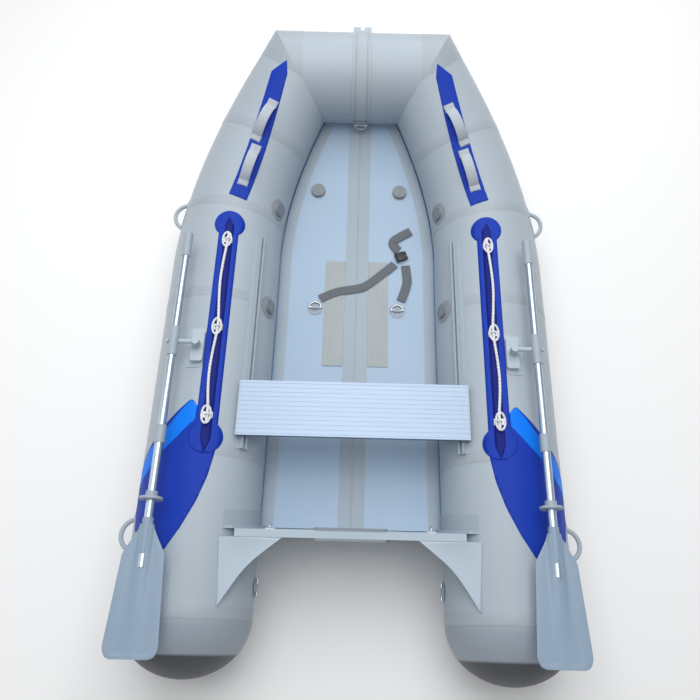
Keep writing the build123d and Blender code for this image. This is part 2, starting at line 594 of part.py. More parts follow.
def rowlock_pieces():
    seat = Pos(ROWLOCK_X, ROWLOCK_Y, 0) * RectangleRounded(BASE_WIDE, BASE_LONG, 8)
    block = extrude(Pos(0, 0, TUBE_R + 100) * seat, BASE_TOP - TUBE_R - 100)
    plate_outline = Pos(ROWLOCK_X + 10, ROWLOCK_Y) * RectangleRounded(BASE_WIDE + 20, BASE_LONG + 34, 16)
    plate = patch(plate_outline, 2.4)
    post_way = Pos(ROWLOCK_X, ROWLOCK_Y, 0)
    boss = post_way * Pos(0, 0, (BOSS_TOP + 430) / 2) * Cylinder(15, BOSS_TOP - 430)
    socket_base = 2 * TUBE_R + 3
    base = block + boss - OUTER - post_way * Pos(0, 0, socket_base + 100) * Cylinder(POST_R + PIN_FIT, 200)
    base = biggest(base - layer(2.4)) + plate
    PARTS["rowlock_bases"] = Compound(children=[*base.solids(), *port(base).solids()])

    post_low = socket_base + 0.4
    post = post_way * Pos(0, 0, (post_low + OAR_Z) / 2) * Cylinder(POST_R, OAR_Z - post_low)
    collar_low, collar_top = BOSS_TOP + 0.4, OAR_Z + 12
    collar = post_way * Pos(0, 0, (collar_low + collar_top) / 2) * Cylinder(13, collar_top - collar_low)
    inner_face = OAR_X - GRIP_R - 1.0
    arm_way = Pos((ROWLOCK_X + inner_face) / 2, ROWLOCK_Y, OAR_Z) * Rot(0, 90, 0)
    arm = arm_way * Cylinder(8.5, inner_face - ROWLOCK_X)
    tip = OAR_X + GRIP_R + 9
    pin = Pos((ROWLOCK_X + tip) / 2, ROWLOCK_Y, OAR_Z) * Rot(0, 90, 0) * Cylinder(PIN_R, tip - ROWLOCK_X)
    nut = Pos(OAR_X + GRIP_R + 5, ROWLOCK_Y, OAR_Z) * Rot(0, 90, 0) * Cylinder(8, 6)
    rowlock = post + collar + arm + pin + nut
    PARTS["rowlock_starboard"] = rowlock
    PARTS["rowlock_port"] = port(rowlock)


# ---- valves
def valve_places():
    """Name and plane of each valve; the local z axis points out of the chamber."""
    places = {}
    for name, y in (("side", SIDE_VALVE_Y), ("bow", BOW_VALVE_Y)):
        plane = surface(y, VALVE_LEAN, GLUE)
        places[f"{name}_starboard"] = plane
        flipped = Vector(-plane.origin.X, plane.origin.Y, plane.origin.Z)
        places[f"{name}_port"] = Plane(flipped, x_dir=(-plane.x_dir.X, plane.x_dir.Y, plane.x_dir.Z),
                                       z_dir=(-plane.z_dir.X, plane.z_dir.Y, plane.z_dir.Z))
    for name, (x, y) in zip(("floor_port", "floor_starboard"), FLOOR_VALVES):
        places[name] = floor_place(x, y, 0.7)
    return places


def valve_pieces():
    bodies, poppets = [], []
    for name, place in valve_places().items():
        middle = place * Pos(0, 0, (VALVE_PROUD - VALVE_DEEP) / 2)
        barrel = middle * Cylinder(VALVE_BARREL_R, VALVE_PROUD + VALVE_DEEP)
        if name.startswith("floor"):
            flange = place * Pos(0, 0, 1.2) * Cylinder(VALVE_FLANGE_R - 11, 2.4)
        else:
            side = surface(SIDE_VALVE_Y if "side" in name else BOW_VALVE_Y, VALVE_LEAN)
            flange = round_patch(side, VALVE_FLANGE_R, 2.6)
            flange = port(flange) if name.endswith("port") else flange
        bore = place * Pos(0, 0, (VALVE_PROUD + 1 - VALVE_DEEP + 6) / 2) * Cylinder(
            VALVE_BORE_R, VALVE_PROUD + 1 + VALVE_DEEP - 6
        )
        vent = place * Pos(0, 0, -VALVE_DEEP + 3) * Cylinder(5.2, 20)
        body = barrel + flange - bore - vent
        bodies += body.solids()
        stem = place * Pos(0, 0, -VALVE_DEEP + 2) * Cylinder(5, 22)
        disc = place * Pos(0, 0, -VALVE_DEEP + 9) * Cylinder(14, 3)
        poppets += (stem + disc).solids()
        lid = place * Pos(0, 0, VALVE_PROUD + 0.3 + CAP_THICK / 2) * Cylinder(CAP_R, CAP_THICK)
        plug = place * Pos(0, 0, VALVE_PROUD - 4) * Cylinder(VALVE_BORE_R - CAP_FIT, 10)
        wing = place * Pos(0, 0, VALVE_PROUD + CAP_THICK + 1) * Box(36, 5, 5)
        PARTS[f"valve_cap_{name}"] = lid + plug + wing
    PARTS["valve_bodies"] = Compound(children=bodies)
    PARTS["valve_poppets"] = Compound(children=poppets)


# ---- lifelines
LIFELINE = [
    (496, 286, 438), (498, 236, 440), (506, 158, 436), (510, 78, 435),
    (505, -8, 436), (497, -86, 440), (498, -140, 440), (507, -214, 436),
    (511, -292, 435), (506, -368, 436), (498, -424, 440), (500, -476, 438),
]


def rope(points, radius):
    """A tube along straight runs joined by arcs, each as large as its runs allow."""
    corners = [Vector(*point) for point in points]
    radii = []
    for before, corner, after in zip(corners, corners[1:], corners[2:]):
        turn = radians((corner - before).get_angle(after - corner))
        radii.append(0.45 * min((corner - before).length, (after - corner).length) / tan(turn / 2))
    print("rope radii", [round(value) for value in radii], "for a diameter of", 2 * radius)
    path = FilletPolyline(*corners, radius=radii)
    ends = Plane(path @ 0, z_dir=path % 0)
    return sweep(ends * Circle(radius), path)


def strip_outline(grown=0.0):
    """Plan of the strip under a lifeline: a bar with a disc at each end."""
    disc = Pos(axis_x(STRIP_DISC_Y) + STRIP_X - TUBE_X, STRIP_DISC_Y) * Circle(STRIP_DISC_R + grown)
    long_way = STRIP_DISC_Y - STRIP_AFT
    bar = Pos(STRIP_X, STRIP_AFT + long_way / 2) * Rectangle(STRIP_WIDE + 2 * grown, long_way)
    return disc + bar + Pos(STRIP_X, STRIP_AFT) * Circle(STRIP_DISC_R + grown)


def lifeline_pieces():
    strip = patch(strip_outline())
    aft, fore = Vector(*GRAB_AFT), Vector(*GRAB_FORE)
    way = (fore - aft).normalized()
    side = Vector(-way.Y, way.X) * (GRAB_WIDE / 2)
    tip = fore + way * 46 + side * 0.55
    corners = [aft + side, fore + side, tip, fore - side * 0.9, aft - side]
    grab = patch(make_face(Polyline(*[(c.X, c.Y) for c in corners], close=True)))
    pieces = [*strip.solids(), *grab.solids()]
    PARTS["tube_strips"] = Compound(children=pieces + [s for p in pieces for s in port(p).solids()])

    eyes = []
    lean = degrees(asin((TUBE_X - STRIP_X) / TUBE_R))
    for y in EYE_YS:
        place = surface(y, lean, GLUE + PATCH + 0.9)
        ring = Pos(0, 0, 3.0 + EYE_RING) * Rot(0, 90, 0) * Torus(EYE_RING, EYE_WIRE)
        eyes += (place * (Pos(0, 0, 2) * Box(22, 34, 4) + ring)).solids()
    PARTS["lifeline_eyes"] = Compound(children=eyes + [s for eye in eyes for s in port(eye).solids()])
    line = rope(LIFELINE, ROPE_R)
    PARTS["lifeline_starboard"] = line
    PARTS["lifeline_port"] = port(line)


# ---- handles
def arch(span, rise, thick, wide):
    """A strap handle: an arched band with two flat feet, along local x, standing on local z."""
    feet = 22.0
    outer = ThreePointArc((-span / 2, thick), (0, rise + thick), (span / 2, thick))
    inner = ThreePointArc((-span / 2 + thick, 0), (0, rise), (span / 2 - thick, 0))
    heel = -span / 2 - feet
    left = Polyline((-span / 2, thick), (heel, thick), (heel, 0), (-span / 2 + thick, 0))
    toe = span / 2 + feet
    right = Polyline((span / 2, thick), (toe, thick), (toe, 0), (span / 2 - thick, 0))
    band_face = make_face([outer, *left.edges(), inner, *right.edges()])
    return extrude(Plane.XZ * band_face, wide / 2, both=True)


def grab_place(share):
    """Plane on the grab strip, a share of the way from its aft end."""
    x = GRAB_AFT[0] + (GRAB_FORE[0] - GRAB_AFT[0]) * share
    y = GRAB_AFT[1] + (GRAB_FORE[1] - GRAB_AFT[1]) * share
    return above(x, y, GLUE + PATCH + 7.4)


def handle_pieces():
    loops = []
    for share in LOOP_SHARES:
        loops += (grab_place(share) * arch(LOOP_SPAN, LOOP_RISE, LOOP_THICK, LOOP_WIDE)).solids()
    PARTS["grab_loops"] = Compound(children=loops + [s for loop in loops for s in port(loop).solids()])

    handles = []
    for y in HANDLE_YS:
        place = surface(y, HANDLE_LEAN, GLUE)
        bow = ThreePointArc((-HANDLE_SPAN / 2, 0), (0, HANDLE_RISE - HANDLE_R), (HANDLE_SPAN / 2, 0))
        start = Plane(bow @ 0, z_dir=bow % 0)
        bail = Rot(90, 0, 0) * sweep(start * Circle(HANDLE_R), bow)
        feet = [Pos(s * HANDLE_SPAN / 2, 0, 2) * Cylinder(15, 6) for s in (-1, 1)]
        base = round_patch(surface(y, HANDLE_LEAN), HANDLE_SPAN * 0.72, 2.2)
        handle = place * (bail + feet[0] + feet[1]) + base
        handle = handle - tube_body(GLUE)
        handles.append(biggest(handle))
    PARTS["side_handles"] = Compound(children=handles + [s for h in handles for s in port(h).solids()])


# ---- coloured panels, bow fittings and rings
def panel_pieces():
    """Blue panels over the outer shoulder of each tube, from the rowlocks to the stern."""
    inner = [(560, PANEL_FORE), (470, -500), (462, -560), (520, -780), (592, PANEL_AFT)]
    corners = [*inner, (738, -800), (738, -612)]
    outline = make_face(Polyline(*corners, close=True))
    handle = surface(HANDLE_YS[1], HANDLE_LEAN) * Cylinder(HANDLE_SPAN * 0.72 + 1, 90)
    panel = patch(fillet(outline.vertices(), 30), 0.8) - extrude(strip_outline(0.5), 900) - handle
    PARTS["side_panels"] = Compound(children=[*panel.solids(), *port(panel).solids()])


def bow_pieces():
    bow = Pos(0, BOW_Y, BOW_Z) * Rot(0, 90, 0)
    core = bow * Cylinder(BOW_R + GLUE, 900)
    flat = bow * Cylinder(BOW_R + STRAKE_THICK, STRAKE_WIDE)
    wrap = flat + bow * Cylinder(BOW_R + 2 * STRAKE_THICK, STRAKE_RIB) - core
    inside = Pos(0, BOW_Y - 150, BOW_Z - 112 + 150) * Box(200, 300, 300)
    outside = Pos(0, BOW_Y + 150, BOW_Z - 150 + 200) * Box(200, 300, 400)
    PARTS["bow_strake"] = biggest(wrap & (inside + outside))
    back = 90.0
    seat = Pos(0, FAIRLEAD_FRONT - back / 2, FAIRLEAD_LOW + FAIRLEAD_TALL / 2)
    block = seat * Box(FAIRLEAD_WIDE, back, FAIRLEAD_TALL)
    block = fillet(block.edges().filter_by(Axis.X).group_by(Axis.Y)[-1], 10)
    block = fillet(block.edges().filter_by(Axis.Z).group_by(Axis.Y)[-1], 6)
    slot_low = FAIRLEAD_LOW + FAIRLEAD_FLOOR
    slot_y = FAIRLEAD_FRONT - FAIRLEAD_DEEP + back / 2
    slot = Pos(0, slot_y, slot_low + back / 2) * Box(FAIRLEAD_SLOT, back, back)
    PARTS["bow_fairlead"] = biggest(block - bow * Cylinder(BOW_R + 2 * STRAKE_THICK + GLUE, 900) - slot)


def d_ring(radius, wire):
    """A D ring hanging from local x, its straight side on the axis, lying along local y."""
    rim = Torus(radius, wire) & Pos(0, radius + wire, 0) * Box(3 * radius, 2 * radius + 2 * wire, 3 * wire)
    bar = Rot(0, 90, 0) * Cylinder(wire + RING_BAR, 2 * radius + 2 * wire)
    return rim + bar


def ring_mount(radius, wire):
    """The webbing tunnel that holds a D ring's straight side, on a round base."""
    base = Pos(0, 0, -wire - 2.8) * Cylinder(radius * 1.35, 2.4)
    tunnel = Pos(0, -1.0, -0.6) * Box(radius * 1.2, 2 * wire + 7, 2 * wire + 4.2)
    return base + tunnel - Rot(0, 90, 0) * Cylinder(wire + RING_BAR + 0.06, 4 * radius)


def ring_places():
    """Planes of each D ring and of its mount: local z off the surface, local x along the hinge bar."""
    lift = RING_WIRE + 4.0 + GLUE
    stern = surface(STERN_RING_Y, 92.0, lift)
    places = {"stern_ring_starboard": (stern, stern)}
    origin, normal = stern.origin, stern.z_dir
    other = Plane((-origin.X, origin.Y, origin.Z), x_dir=(0, -1, 0), z_dir=(-normal.X, 0, normal.Z))
    places["stern_ring_port"] = (other, other)
    for name, (x, y) in zip(("strap_ring_port", "strap_ring_starboard"), STRAP_EYES):
        deck = floor_place(x, y)
        flat = Plane(deck.origin + deck.z_dir * lift, x_dir=(1, 0, 0), z_dir=deck.z_dir)
        places[name] = (flat, flat)
    tilt = radians(BOW_RING_TILT)
    face = Vector(0, -cos(tilt), -sin(tilt))
    bow = Vector(0, BOW_Y, BOW_Z) + face * (BOW_R + 2 * STRAKE_THICK + lift)
    hanging = Plane(bow, x_dir=(-1, 0, 0), z_dir=(0, -1, 0))
    places["bow_ring"] = (hanging, Plane(bow, x_dir=(-1, 0, 0), z_dir=face))
    return places


def ring_pieces():
    mounts = []
    for name, (place, base) in ring_places().items():
        PARTS[name] = place * d_ring(RING_R, RING_WIRE)
        mounts += (base * ring_mount(RING_R, RING_WIRE)).solids()
    PARTS["ring_mounts"] = Compound(children=mounts)


# ---- fuel tank strap
def ribbon(points, lift):
    """Flat webbing along a path in plan, lying over the deck and its pads."""
    path = FilletPolyline(*points, radius=30) if len(points) > 2 else Line(*points)
    strip = extrude(trace(path, STRAP_WIDE), 900)
    return strip & band(0, 560, PAD_TOP + lift, PAD_TOP + lift + STRAP_THICK, -TUBE_X, TUBE_X)


def strap_pieces():
    left = ribbon([(-150, 156), (-100, 188), (30, 214), (160, 332)], 1)
    right = ribbon([(186, 156), (212, 230), (206, 326)], 1)
    tail = ribbon([(176, 398), (140, 430), (232, 492)], 2)
    PARTS["strap_webbing"] = Compound(children=[*left.solids(), *right.solids(), *tail.solids()])
    buckle = Pos(186, 366, TUBE_R + PAD_TOP + rise_at(366) + 8) * Rot(0, 0, 20) * Box(52, 44, 12)
    PARTS["strap_buckle"] = fillet(buckle.edges().filter_by(Axis.Z), 6)


tube_pieces()
floor_pieces()
transom_pieces()
seat_pieces()
oar_pieces()
rowlock_pieces()
valve_pieces()
lifeline_pieces()
handle_pieces()
panel_pieces()
bow_pieces()
ring_pieces()
strap_pieces()

for node, shape in PARTS.items():
    export_step(shape, f"parts/{node}.step")
print(len(PARTS), "nodes")
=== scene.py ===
from math import asin, atan2, cos, degrees, hypot, pi, radians, sin, sqrt

import bmesh
import bpy
from mathutils import Matrix, Vector


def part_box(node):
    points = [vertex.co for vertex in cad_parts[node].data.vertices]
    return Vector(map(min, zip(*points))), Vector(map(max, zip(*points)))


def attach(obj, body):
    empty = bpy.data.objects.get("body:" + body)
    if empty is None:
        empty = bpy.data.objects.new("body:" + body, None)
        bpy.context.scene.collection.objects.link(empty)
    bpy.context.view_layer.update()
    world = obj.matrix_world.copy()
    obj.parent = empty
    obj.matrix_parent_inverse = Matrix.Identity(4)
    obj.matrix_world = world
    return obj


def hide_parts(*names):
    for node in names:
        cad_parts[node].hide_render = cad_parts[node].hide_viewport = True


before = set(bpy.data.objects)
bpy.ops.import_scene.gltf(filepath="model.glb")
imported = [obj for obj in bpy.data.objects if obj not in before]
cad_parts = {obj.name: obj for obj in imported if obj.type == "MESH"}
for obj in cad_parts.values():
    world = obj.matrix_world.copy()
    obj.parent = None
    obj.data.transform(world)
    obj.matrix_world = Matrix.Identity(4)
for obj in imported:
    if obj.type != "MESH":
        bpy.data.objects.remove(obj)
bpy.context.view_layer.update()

# ---- Camera ------------------------------------------------------------------------
# A person standing over the transom and looking down and forward sees the whole boat,
# a little turned in the hand.
EYE = (0.0, -1.142, 2.617)
TILT, ROLL = radians(23.53), radians(1.4)
lens = bpy.data.cameras.new("eye")
lens.lens = 34.3
lens.sensor_width = 36.0
lens.shift_x = -5 / 700
camera = bpy.data.objects.new("eye", lens)
camera.matrix_world = Matrix.Translation(EYE) @ Matrix.Rotation(TILT, 4, "X") @ Matrix.Rotation(ROLL, 4, "Z")
bpy.context.collection.objects.link(camera)
bpy.context.scene.camera = camera


# ---- Lifelines ---------------------------------------------------------------------
# Braided white polyester rope, 9.5 mm thick, threaded through three plastic eyes on
# each side tube and pulled nearly tight, with an eye splice worked in at each eye.
ROPE = 0.0095
ROPE_ROUTE = [
    (0.496, 0.286, 0.438), (0.498, 0.236, 0.440), (0.506, 0.158, 0.436), (0.510, 0.078, 0.435),
    (0.505, -0.008, 0.436), (0.497, -0.086, 0.440), (0.498, -0.140, 0.440), (0.507, -0.214, 0.436),
    (0.511, -0.292, 0.435), (0.506, -0.368, 0.436), (0.498, -0.424, 0.440), (0.500, -0.476, 0.438),
]


def wire_points(route, detail=10):
    """Points along the smooth line that a rope or wire takes past the points of its route."""
    line = bpy.data.curves.new("route", "CURVE")
    line.dimensions = "3D"
    line.resolution_u = detail
    spline = line.splines.new("NURBS")
    spline.points.add(len(route) - 1)
    for point, place in zip(spline.points, route):
        point.co = (*place, 1.0)
    spline.order_u = 3
    spline.use_endpoint_u = True
    carrier = bpy.data.objects.new("route", line)
    drawn = bpy.data.meshes.new_from_object(carrier)
    points = [vertex.co.copy() for vertex in drawn.vertices]
    bpy.data.objects.remove(carrier)
    bpy.data.meshes.remove(drawn)
    bpy.data.curves.remove(line)
    return points


def lay_rings(points, radius, closed=False):
    """A place for a unit circle at each point of a line, square to the line and scaled up."""
    places = []
    side = Vector((1, 0, 0))
    count = len(points)
    for i, point in enumerate(points):
        ahead = points[(i + 1) % count] if closed else points[min(i + 1, count - 1)]
        behind = points[i - 1] if closed else points[max(i - 1, 0)]
        along = (ahead - behind).normalized()
        side = (side - along * side.dot(along)).normalized()
        turn = Matrix((side, along.cross(side), along)).transposed().to_4x4()
        places.append(Matrix.Translation(point) @ turn @ Matrix.Diagonal((radius, radius, 1, 1)))
    return places


def draw_on(bm, edges):
    """Extrude a ring of edges: gives the new edges and their points."""
    drawn = bmesh.ops.extrude_edge_only(bm, edges=edges)["geom"]
    edges = [part for part in drawn if isinstance(part, bmesh.types.BMEdge)]
    return edges, [part for part in drawn if isinstance(part, bmesh.types.BMVert)]


def lengths_along(points):
    """The distance run at each point of a line."""
    lengths = [0.0]
    for before, after in zip(points, points[1:]):
        lengths.append(lengths[-1] + (after - before).length)
    return lengths


def sleeve(bm, places, segments=96, capped=True):
    """A skin drawn from ring to ring; each place carries a unit circle to its ring."""
    first = bmesh.ops.create_circle(bm, segments=segments, radius=1.0, matrix=places[0])["verts"]
    edges = list({edge for vert in first for edge in vert.link_edges})
    ends = [edges]
    for before, after in zip(places, places[1:]):
        edges, verts = draw_on(bm, edges)
        bmesh.ops.transform(bm, matrix=after @ before.inverted(), verts=verts)
    ends.append(edges)
    if capped:
        for end in ends:
            bmesh.ops.contextual_create(bm, geom=end)
    return edges


def mirrored(bm):
    """A copy for the port side."""
    other = bm.copy()
    bmesh.ops.scale(other, vec=(-1, 1, 1), verts=other.verts)
    bmesh.ops.reverse_faces(other, faces=other.faces)
    return other


def fit(name, bm, coat, slot, replaced=(), body="hull", smooth=40, turn_out=True):
    """Make a piece of a mesh and fix it to its body."""
    bmesh.ops.remove_doubles(bm, verts=bm.verts, dist=1e-6)
    if turn_out:
        bmesh.ops.recalc_face_normals(bm, faces=bm.faces)
    mesh = bpy.data.meshes.new(name)
    bm.to_mesh(mesh)
    bm.free()
    mesh.polygons.foreach_set("use_smooth", [smooth > 0] * len(mesh.polygons))
    if smooth:
        mesh.set_sharp_from_angle(angle=radians(smooth))
    mesh.materials.append(coat)
    piece = bpy.data.objects.new(name, mesh)
    bpy.context.collection.objects.link(piece)
    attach(piece, body)
    if replaced:
        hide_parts(*replaced)
    return piece


def fit_both(name, bm, coat, slot, replaced=(), body=None, **kept):
    """The same piece on both sides of the boat; names in braces take the side's name."""
    pieces = []
    for side, shape in (("port", mirrored(bm)), ("starboard", bm)):
        nodes = [node.format(side=side) for node in replaced]
        rider = body.format(side=side) if body else "hull"
        pieces.append(fit(f"{name}_{side}", shape, coat, slot, nodes, rider, **kept))
    return pieces


def thicken_piece(piece, thickness, offset=-1):
    thick = piece.modifiers.new("thickness", "SOLIDIFY")
    thick.thickness, thick.offset = thickness, offset


class Wire:
    """An output of a shader node that can be reckoned with."""

    def __init__(self, coat, socket):
        self.coat, self.socket = coat, socket

    def reckon(self, kind, first, second=0.0):
        return self.coat.node("ShaderNodeMath", {"operation": kind}, {0: first, 1: second})

    def __add__(self, other):
        return self.reckon("ADD", self, other)

    def __sub__(self, other):
        return self.reckon("SUBTRACT", self, other)

    def __rsub__(self, other):
        return self.reckon("SUBTRACT", other, self)

    def __mul__(self, other):
        return self.reckon("MULTIPLY", self, other)

    __radd__ = __add__
    __rmul__ = __mul__


def shade(red, green, blue):
    """A colour from its usual 0 to 255 numbers."""
    def straight(level):
        level /= 255
        return level / 12.92 if level <= 0.04045 else ((level + 0.055) / 1.055) ** 2.4
    return (straight(red), straight(green), straight(blue), 1.0)


def mottled(colour, mottle):
    """A colour a little duller, and the same a little paler."""
    duller = [level * (1 - mottle) for level in colour[:3]] + [1]
    return duller, [min(1.0, level * (1 + mottle)) for level in colour[:3]] + [1]


class Coat:
    """A finish built round one shader, with one method that adds any node."""

    def __init__(self, name, rough=0.5, metal=0.0, **fixed):
        self.material = bpy.data.materials.new(name)
        self.material.use_nodes = True
        self.tree = self.material.node_tree
        self.shader = self.tree.nodes["Principled BSDF"]
        self.shader.inputs["Roughness"].default_value = rough
        self.shader.inputs["Metallic"].default_value = metal
        for key, value in fixed.items():
            self.shader.inputs[key.replace("_", " ")].default_value = value
        self.where = self.node("ShaderNodeTexCoord", {}, {}, "Object")

    def node(self, kind, settings, inputs, output=0):
        made = self.tree.nodes.new(kind)
        for key, value in settings.items():
            setattr(made, key, value)
        for key, value in inputs.items():
            if isinstance(value, Wire):
                self.tree.links.new(value.socket, made.inputs[key])
            else:
                made.inputs[key].default_value = value
        return Wire(self, made.outputs[output])

    def set(self, key, value):
        if isinstance(value, Wire):
            self.tree.links.new(value.socket, self.shader.inputs[key])
        else:
            self.shader.inputs[key].default_value = value

    def noise(self, scale, detail=3.0, stretch=(1, 1, 1)):
        where = self.where
        if stretch != (1, 1, 1):
            where = self.node("ShaderNodeMapping", {}, {"Vector": where, "Scale": stretch})
        return self.node("ShaderNodeTexNoise", {}, {"Vector": where, "Scale": scale, "Detail": detail})

    def mix(self, share, one, other):
        return self.node("ShaderNodeMix", {"data_type": "RGBA"}, {0: share, 6: one, 7: other}, 2)

    def sine(self, turn):
        return self.node("ShaderNodeMath", {"operation": "SINE"}, {0: turn})

    def lay(self):
        """How far along a rope or webbing, and how far round or across it."""
        place = self.node("ShaderNodeUVMap", {"uv_map": "lay"}, {})
        return [self.node("ShaderNodeSeparateXYZ", {}, {0: place}, way) for way in "XY"]

    def threads(self, axis, pitch):
        """Rounded ridges across an axis of the piece."""
        scale = 1 / pitch / 3.18
        inputs = {"Vector": self.where, "Scale": scale}
        return self.node("ShaderNodeTexWave", {"bands_direction": axis}, inputs)

    def bump(self, height, depth, strength=1.0):
        inputs = {"Height": height, "Distance": depth, "Strength": strength}
        self.set("Normal", self.node("ShaderNodeBump", {}, inputs))


FOUR_TURNS = 25.13


def braid(name, colour, dark, along=220.0):
    """Braided rope: its strands cross in small diamonds, told by length and turn."""
    coat = Coat(name, rough=0.75, Sheen_Weight=0.25)
    apart, around = coat.lay()
    left = coat.sine(apart * along + around * FOUR_TURNS)
    right = coat.sine(apart * along - around * FOUR_TURNS)
    strands = left * right * 0.5 + 0.5
    coat.set("Base Color", coat.mix(strands, dark, colour))
    coat.bump(strands, 0.0008)
    return coat.material


WHITE_ROPE = braid("white_rope", shade(246, 247, 249), shade(205, 208, 214))


def rope_mesh(points, radius, closed=False, segments=16):
    """A round rope along a line, with its length and its turn kept as a map for the braid."""
    bm = bmesh.new()
    run = points + points[:1] if closed else points
    places = lay_rings(points, radius, closed)
    places = places + places[:1] if closed else places
    sleeve(bm, places, segments, capped=not closed)
    lay = bm.loops.layers.uv.new("lay")
    lengths = lengths_along(run)
    bm.verts.ensure_lookup_table()
    bm.verts.index_update()
    for face in bm.faces:
        turns = [vert.index % segments for vert in face.verts]
        wraps = max(turns) == segments - 1 and min(turns) == 0
        for loop in face.loops:
            ring, turn = divmod(loop.vert.index, segments)
            if wraps and turn == 0:
                turn = segments
            loop[lay].uv = (lengths[min(ring, len(lengths) - 1)], turn / segments)
    return bm


EYE_YS = (0.258, -0.112, -0.445)
SPLICE = (0.0155, 0.031)
rope_line = wire_points([Vector(place) for place in ROPE_ROUTE])
for side, hand in (("starboard", 1), ("port", -1)):
    line = [Vector((point.x * hand, point.y, point.z)) for point in rope_line]
    rope = fit(f"lifeline_rope_{side}", rope_mesh(line, ROPE / 2), WHITE_ROPE, "white_rope",
               [f"lifeline_{side}"], smooth=80)
    for eye in EYE_YS:
        near = min(line, key=lambda point: abs(point.y - eye))
        turns = [2 * pi * i / 40 for i in range(40)]
        loop = [Vector((near.x + hand * 0.004 + SPLICE[0] * cos(turn), eye + SPLICE[1] * sin(turn),
                        near.z - 0.002 - 0.0012 * cos(2 * turn))) for turn in turns]
        name = f"lifeline_splice_{side}_{EYE_YS.index(eye) + 1}"
        splice = rope_mesh(loop, ROPE * 0.42, closed=True)
        fit(name, splice, WHITE_ROPE, "white_rope", smooth=80)


# ---- Floor and light ---------------------------------------------------------------
# A pale studio floor under one wide overhead light and two softer ones at the sides.
FLOOR_HALF = 14.0
floor_mesh = bmesh.new()
bmesh.ops.create_grid(floor_mesh, x_segments=1, y_segments=1, size=FLOOR_HALF)
floor_coat = Coat("studio_floor", rough=0.8)
floor_tones = (0.93, 0.93, 0.93, 1), (0.96, 0.96, 0.96, 1)
floor_coat.set("Base Color", floor_coat.mix(floor_coat.noise(0.6), *floor_tones))
floor_sheet = bpy.data.meshes.new("studio_floor")
floor_mesh.to_mesh(floor_sheet)
floor_mesh.free()
floor_sheet.materials.append(floor_coat.material)
floor = bpy.data.objects.new("studio_floor", floor_sheet)
bpy.context.collection.objects.link(floor)


def soft_light(name, power, size, place, aim=(0, 0, 0.2)):
    lamp = bpy.data.lights.new(name, "AREA")
    lamp.shape = "RECTANGLE"
    lamp.energy, (lamp.size, lamp.size_y) = power, size
    holder = bpy.data.objects.new(name, lamp)
    look = (Vector(aim) - Vector(place)).to_track_quat("-Z", "Y").to_matrix().to_4x4()
    holder.matrix_world = Matrix.Translation(place) @ look
    bpy.context.collection.objects.link(holder)


soft_light("overhead", 150, (4.0, 4.4), (0.0, 1.0, 4.5))
soft_light("bow_side", 40, (3.0, 2.0), (0.6, 4.2, 2.6))
soft_light("left_side", 18, (2.0, 4.0), (-4.2, 0.0, 2.4))
sky = bpy.data.worlds.new("studio")
sky.use_nodes = True
sky.node_tree.nodes["Background"].inputs["Color"].default_value = (0.97, 0.985, 1.0, 1)
sky.node_tree.nodes["Background"].inputs["Strength"].default_value = 0.42
bpy.context.scene.world = sky
bpy.context.scene.view_settings.view_transform = "Standard"


# ---- Buoyancy tubes ----------------------------------------------------------------
# Grey PVC-coated polyester, cut as panels and welded into two side tubes and a bow
# tube. The side tubes turn in and rise to mitred corners, and taper on the way.
cone_low, cone_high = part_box("stern_cone_starboard")
bow_low, bow_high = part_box("tube_bow")
TUBE_R = (cone_high.z - cone_low.z) / 2
TUBE_X = cone_high.x - TUBE_R
SEAM_Y = cone_high.y
BOW_R = (bow_high.z - bow_low.z) / 2
BOW_Y = bow_high.y - BOW_R
BOW_Z = bow_high.z - BOW_R
BOW_LIFT = BOW_Z - TUBE_R
BOW_HALF = 0.266
BEND_TURN = radians(37)
BEND_R = (TUBE_X - BOW_HALF) / (1 - cos(BEND_TURN))
BEND_Y = BOW_Y - BEND_R * sin(BEND_TURN)


def turn_at(y):
    """How far a side tube has turned inboard, abreast of y."""
    return asin(min(1.0, (y - BEND_Y) / BEND_R)) if y > BEND_Y else 0.0


def rise_at(y):
    return BOW_LIFT * (turn_at(y) / BEND_TURN) ** 2


def radius_at(y):
    return TUBE_R + (BOW_R - TUBE_R) * turn_at(y) / BEND_TURN


def station(y):
    """The starboard tube abreast of y: its middle, and the ways outboard, up and forward."""
    turn = turn_at(y)
    climb = 2 * BOW_LIFT * turn / BEND_TURN**2 / BEND_R
    along = Vector((-sin(turn), cos(turn), climb)).normalized()
    across = Vector((cos(turn), sin(turn), 0))
    middle = Vector((TUBE_X - BEND_R * (1 - cos(turn)), y, TUBE_R + rise_at(y)))
    return middle, across, across.cross(along), along


def hoop(y, grown=0.0, ahead=0.0):
    """Where a unit circle goes to become the tube's ring at y."""
    middle, across, up, along = station(y)
    radius = radius_at(y) + grown
    turn = Matrix((across * radius, up * radius, along)).transposed().to_4x4()
    return Matrix.Translation(middle + along * ahead) @ turn


def on_tube(y, lean, lift=0.0):
    """A place on the tube, lean degrees inboard of its crown: x forward, z off the skin."""
    middle, across, up, along = station(y)
    off = up * cos(radians(lean)) - across * sin(radians(lean))
    turn = Matrix((along, off.cross(along), off)).transposed().to_4x4()
    return Matrix.Translation(middle + off * (radius_at(y) + lift)) @ turn


def tube_gap(point):
    """How far a point is outside the starboard tube."""
    y = point.y
    for _ in range(7):
        middle, across, up, along = station(y)
        ahead = (point - middle).dot(along)
        y = min(y + ahead * along.y, BOW_Y)
    return (point - middle - along * ahead).length - radius_at(y)


def top_of_tube(x, y, lift=0.0):
    """The point above a place in plan that is a given height off the tube."""
    low, high = TUBE_R + rise_at(y) - 0.05, BOW_Z + BOW_R + 0.1
    for _ in range(22):
        middle = (low + high) / 2
        if tube_gap(Vector((x, y, middle))) < lift:
            low = middle
        else:
            high = middle
    return Vector((x, y, high))


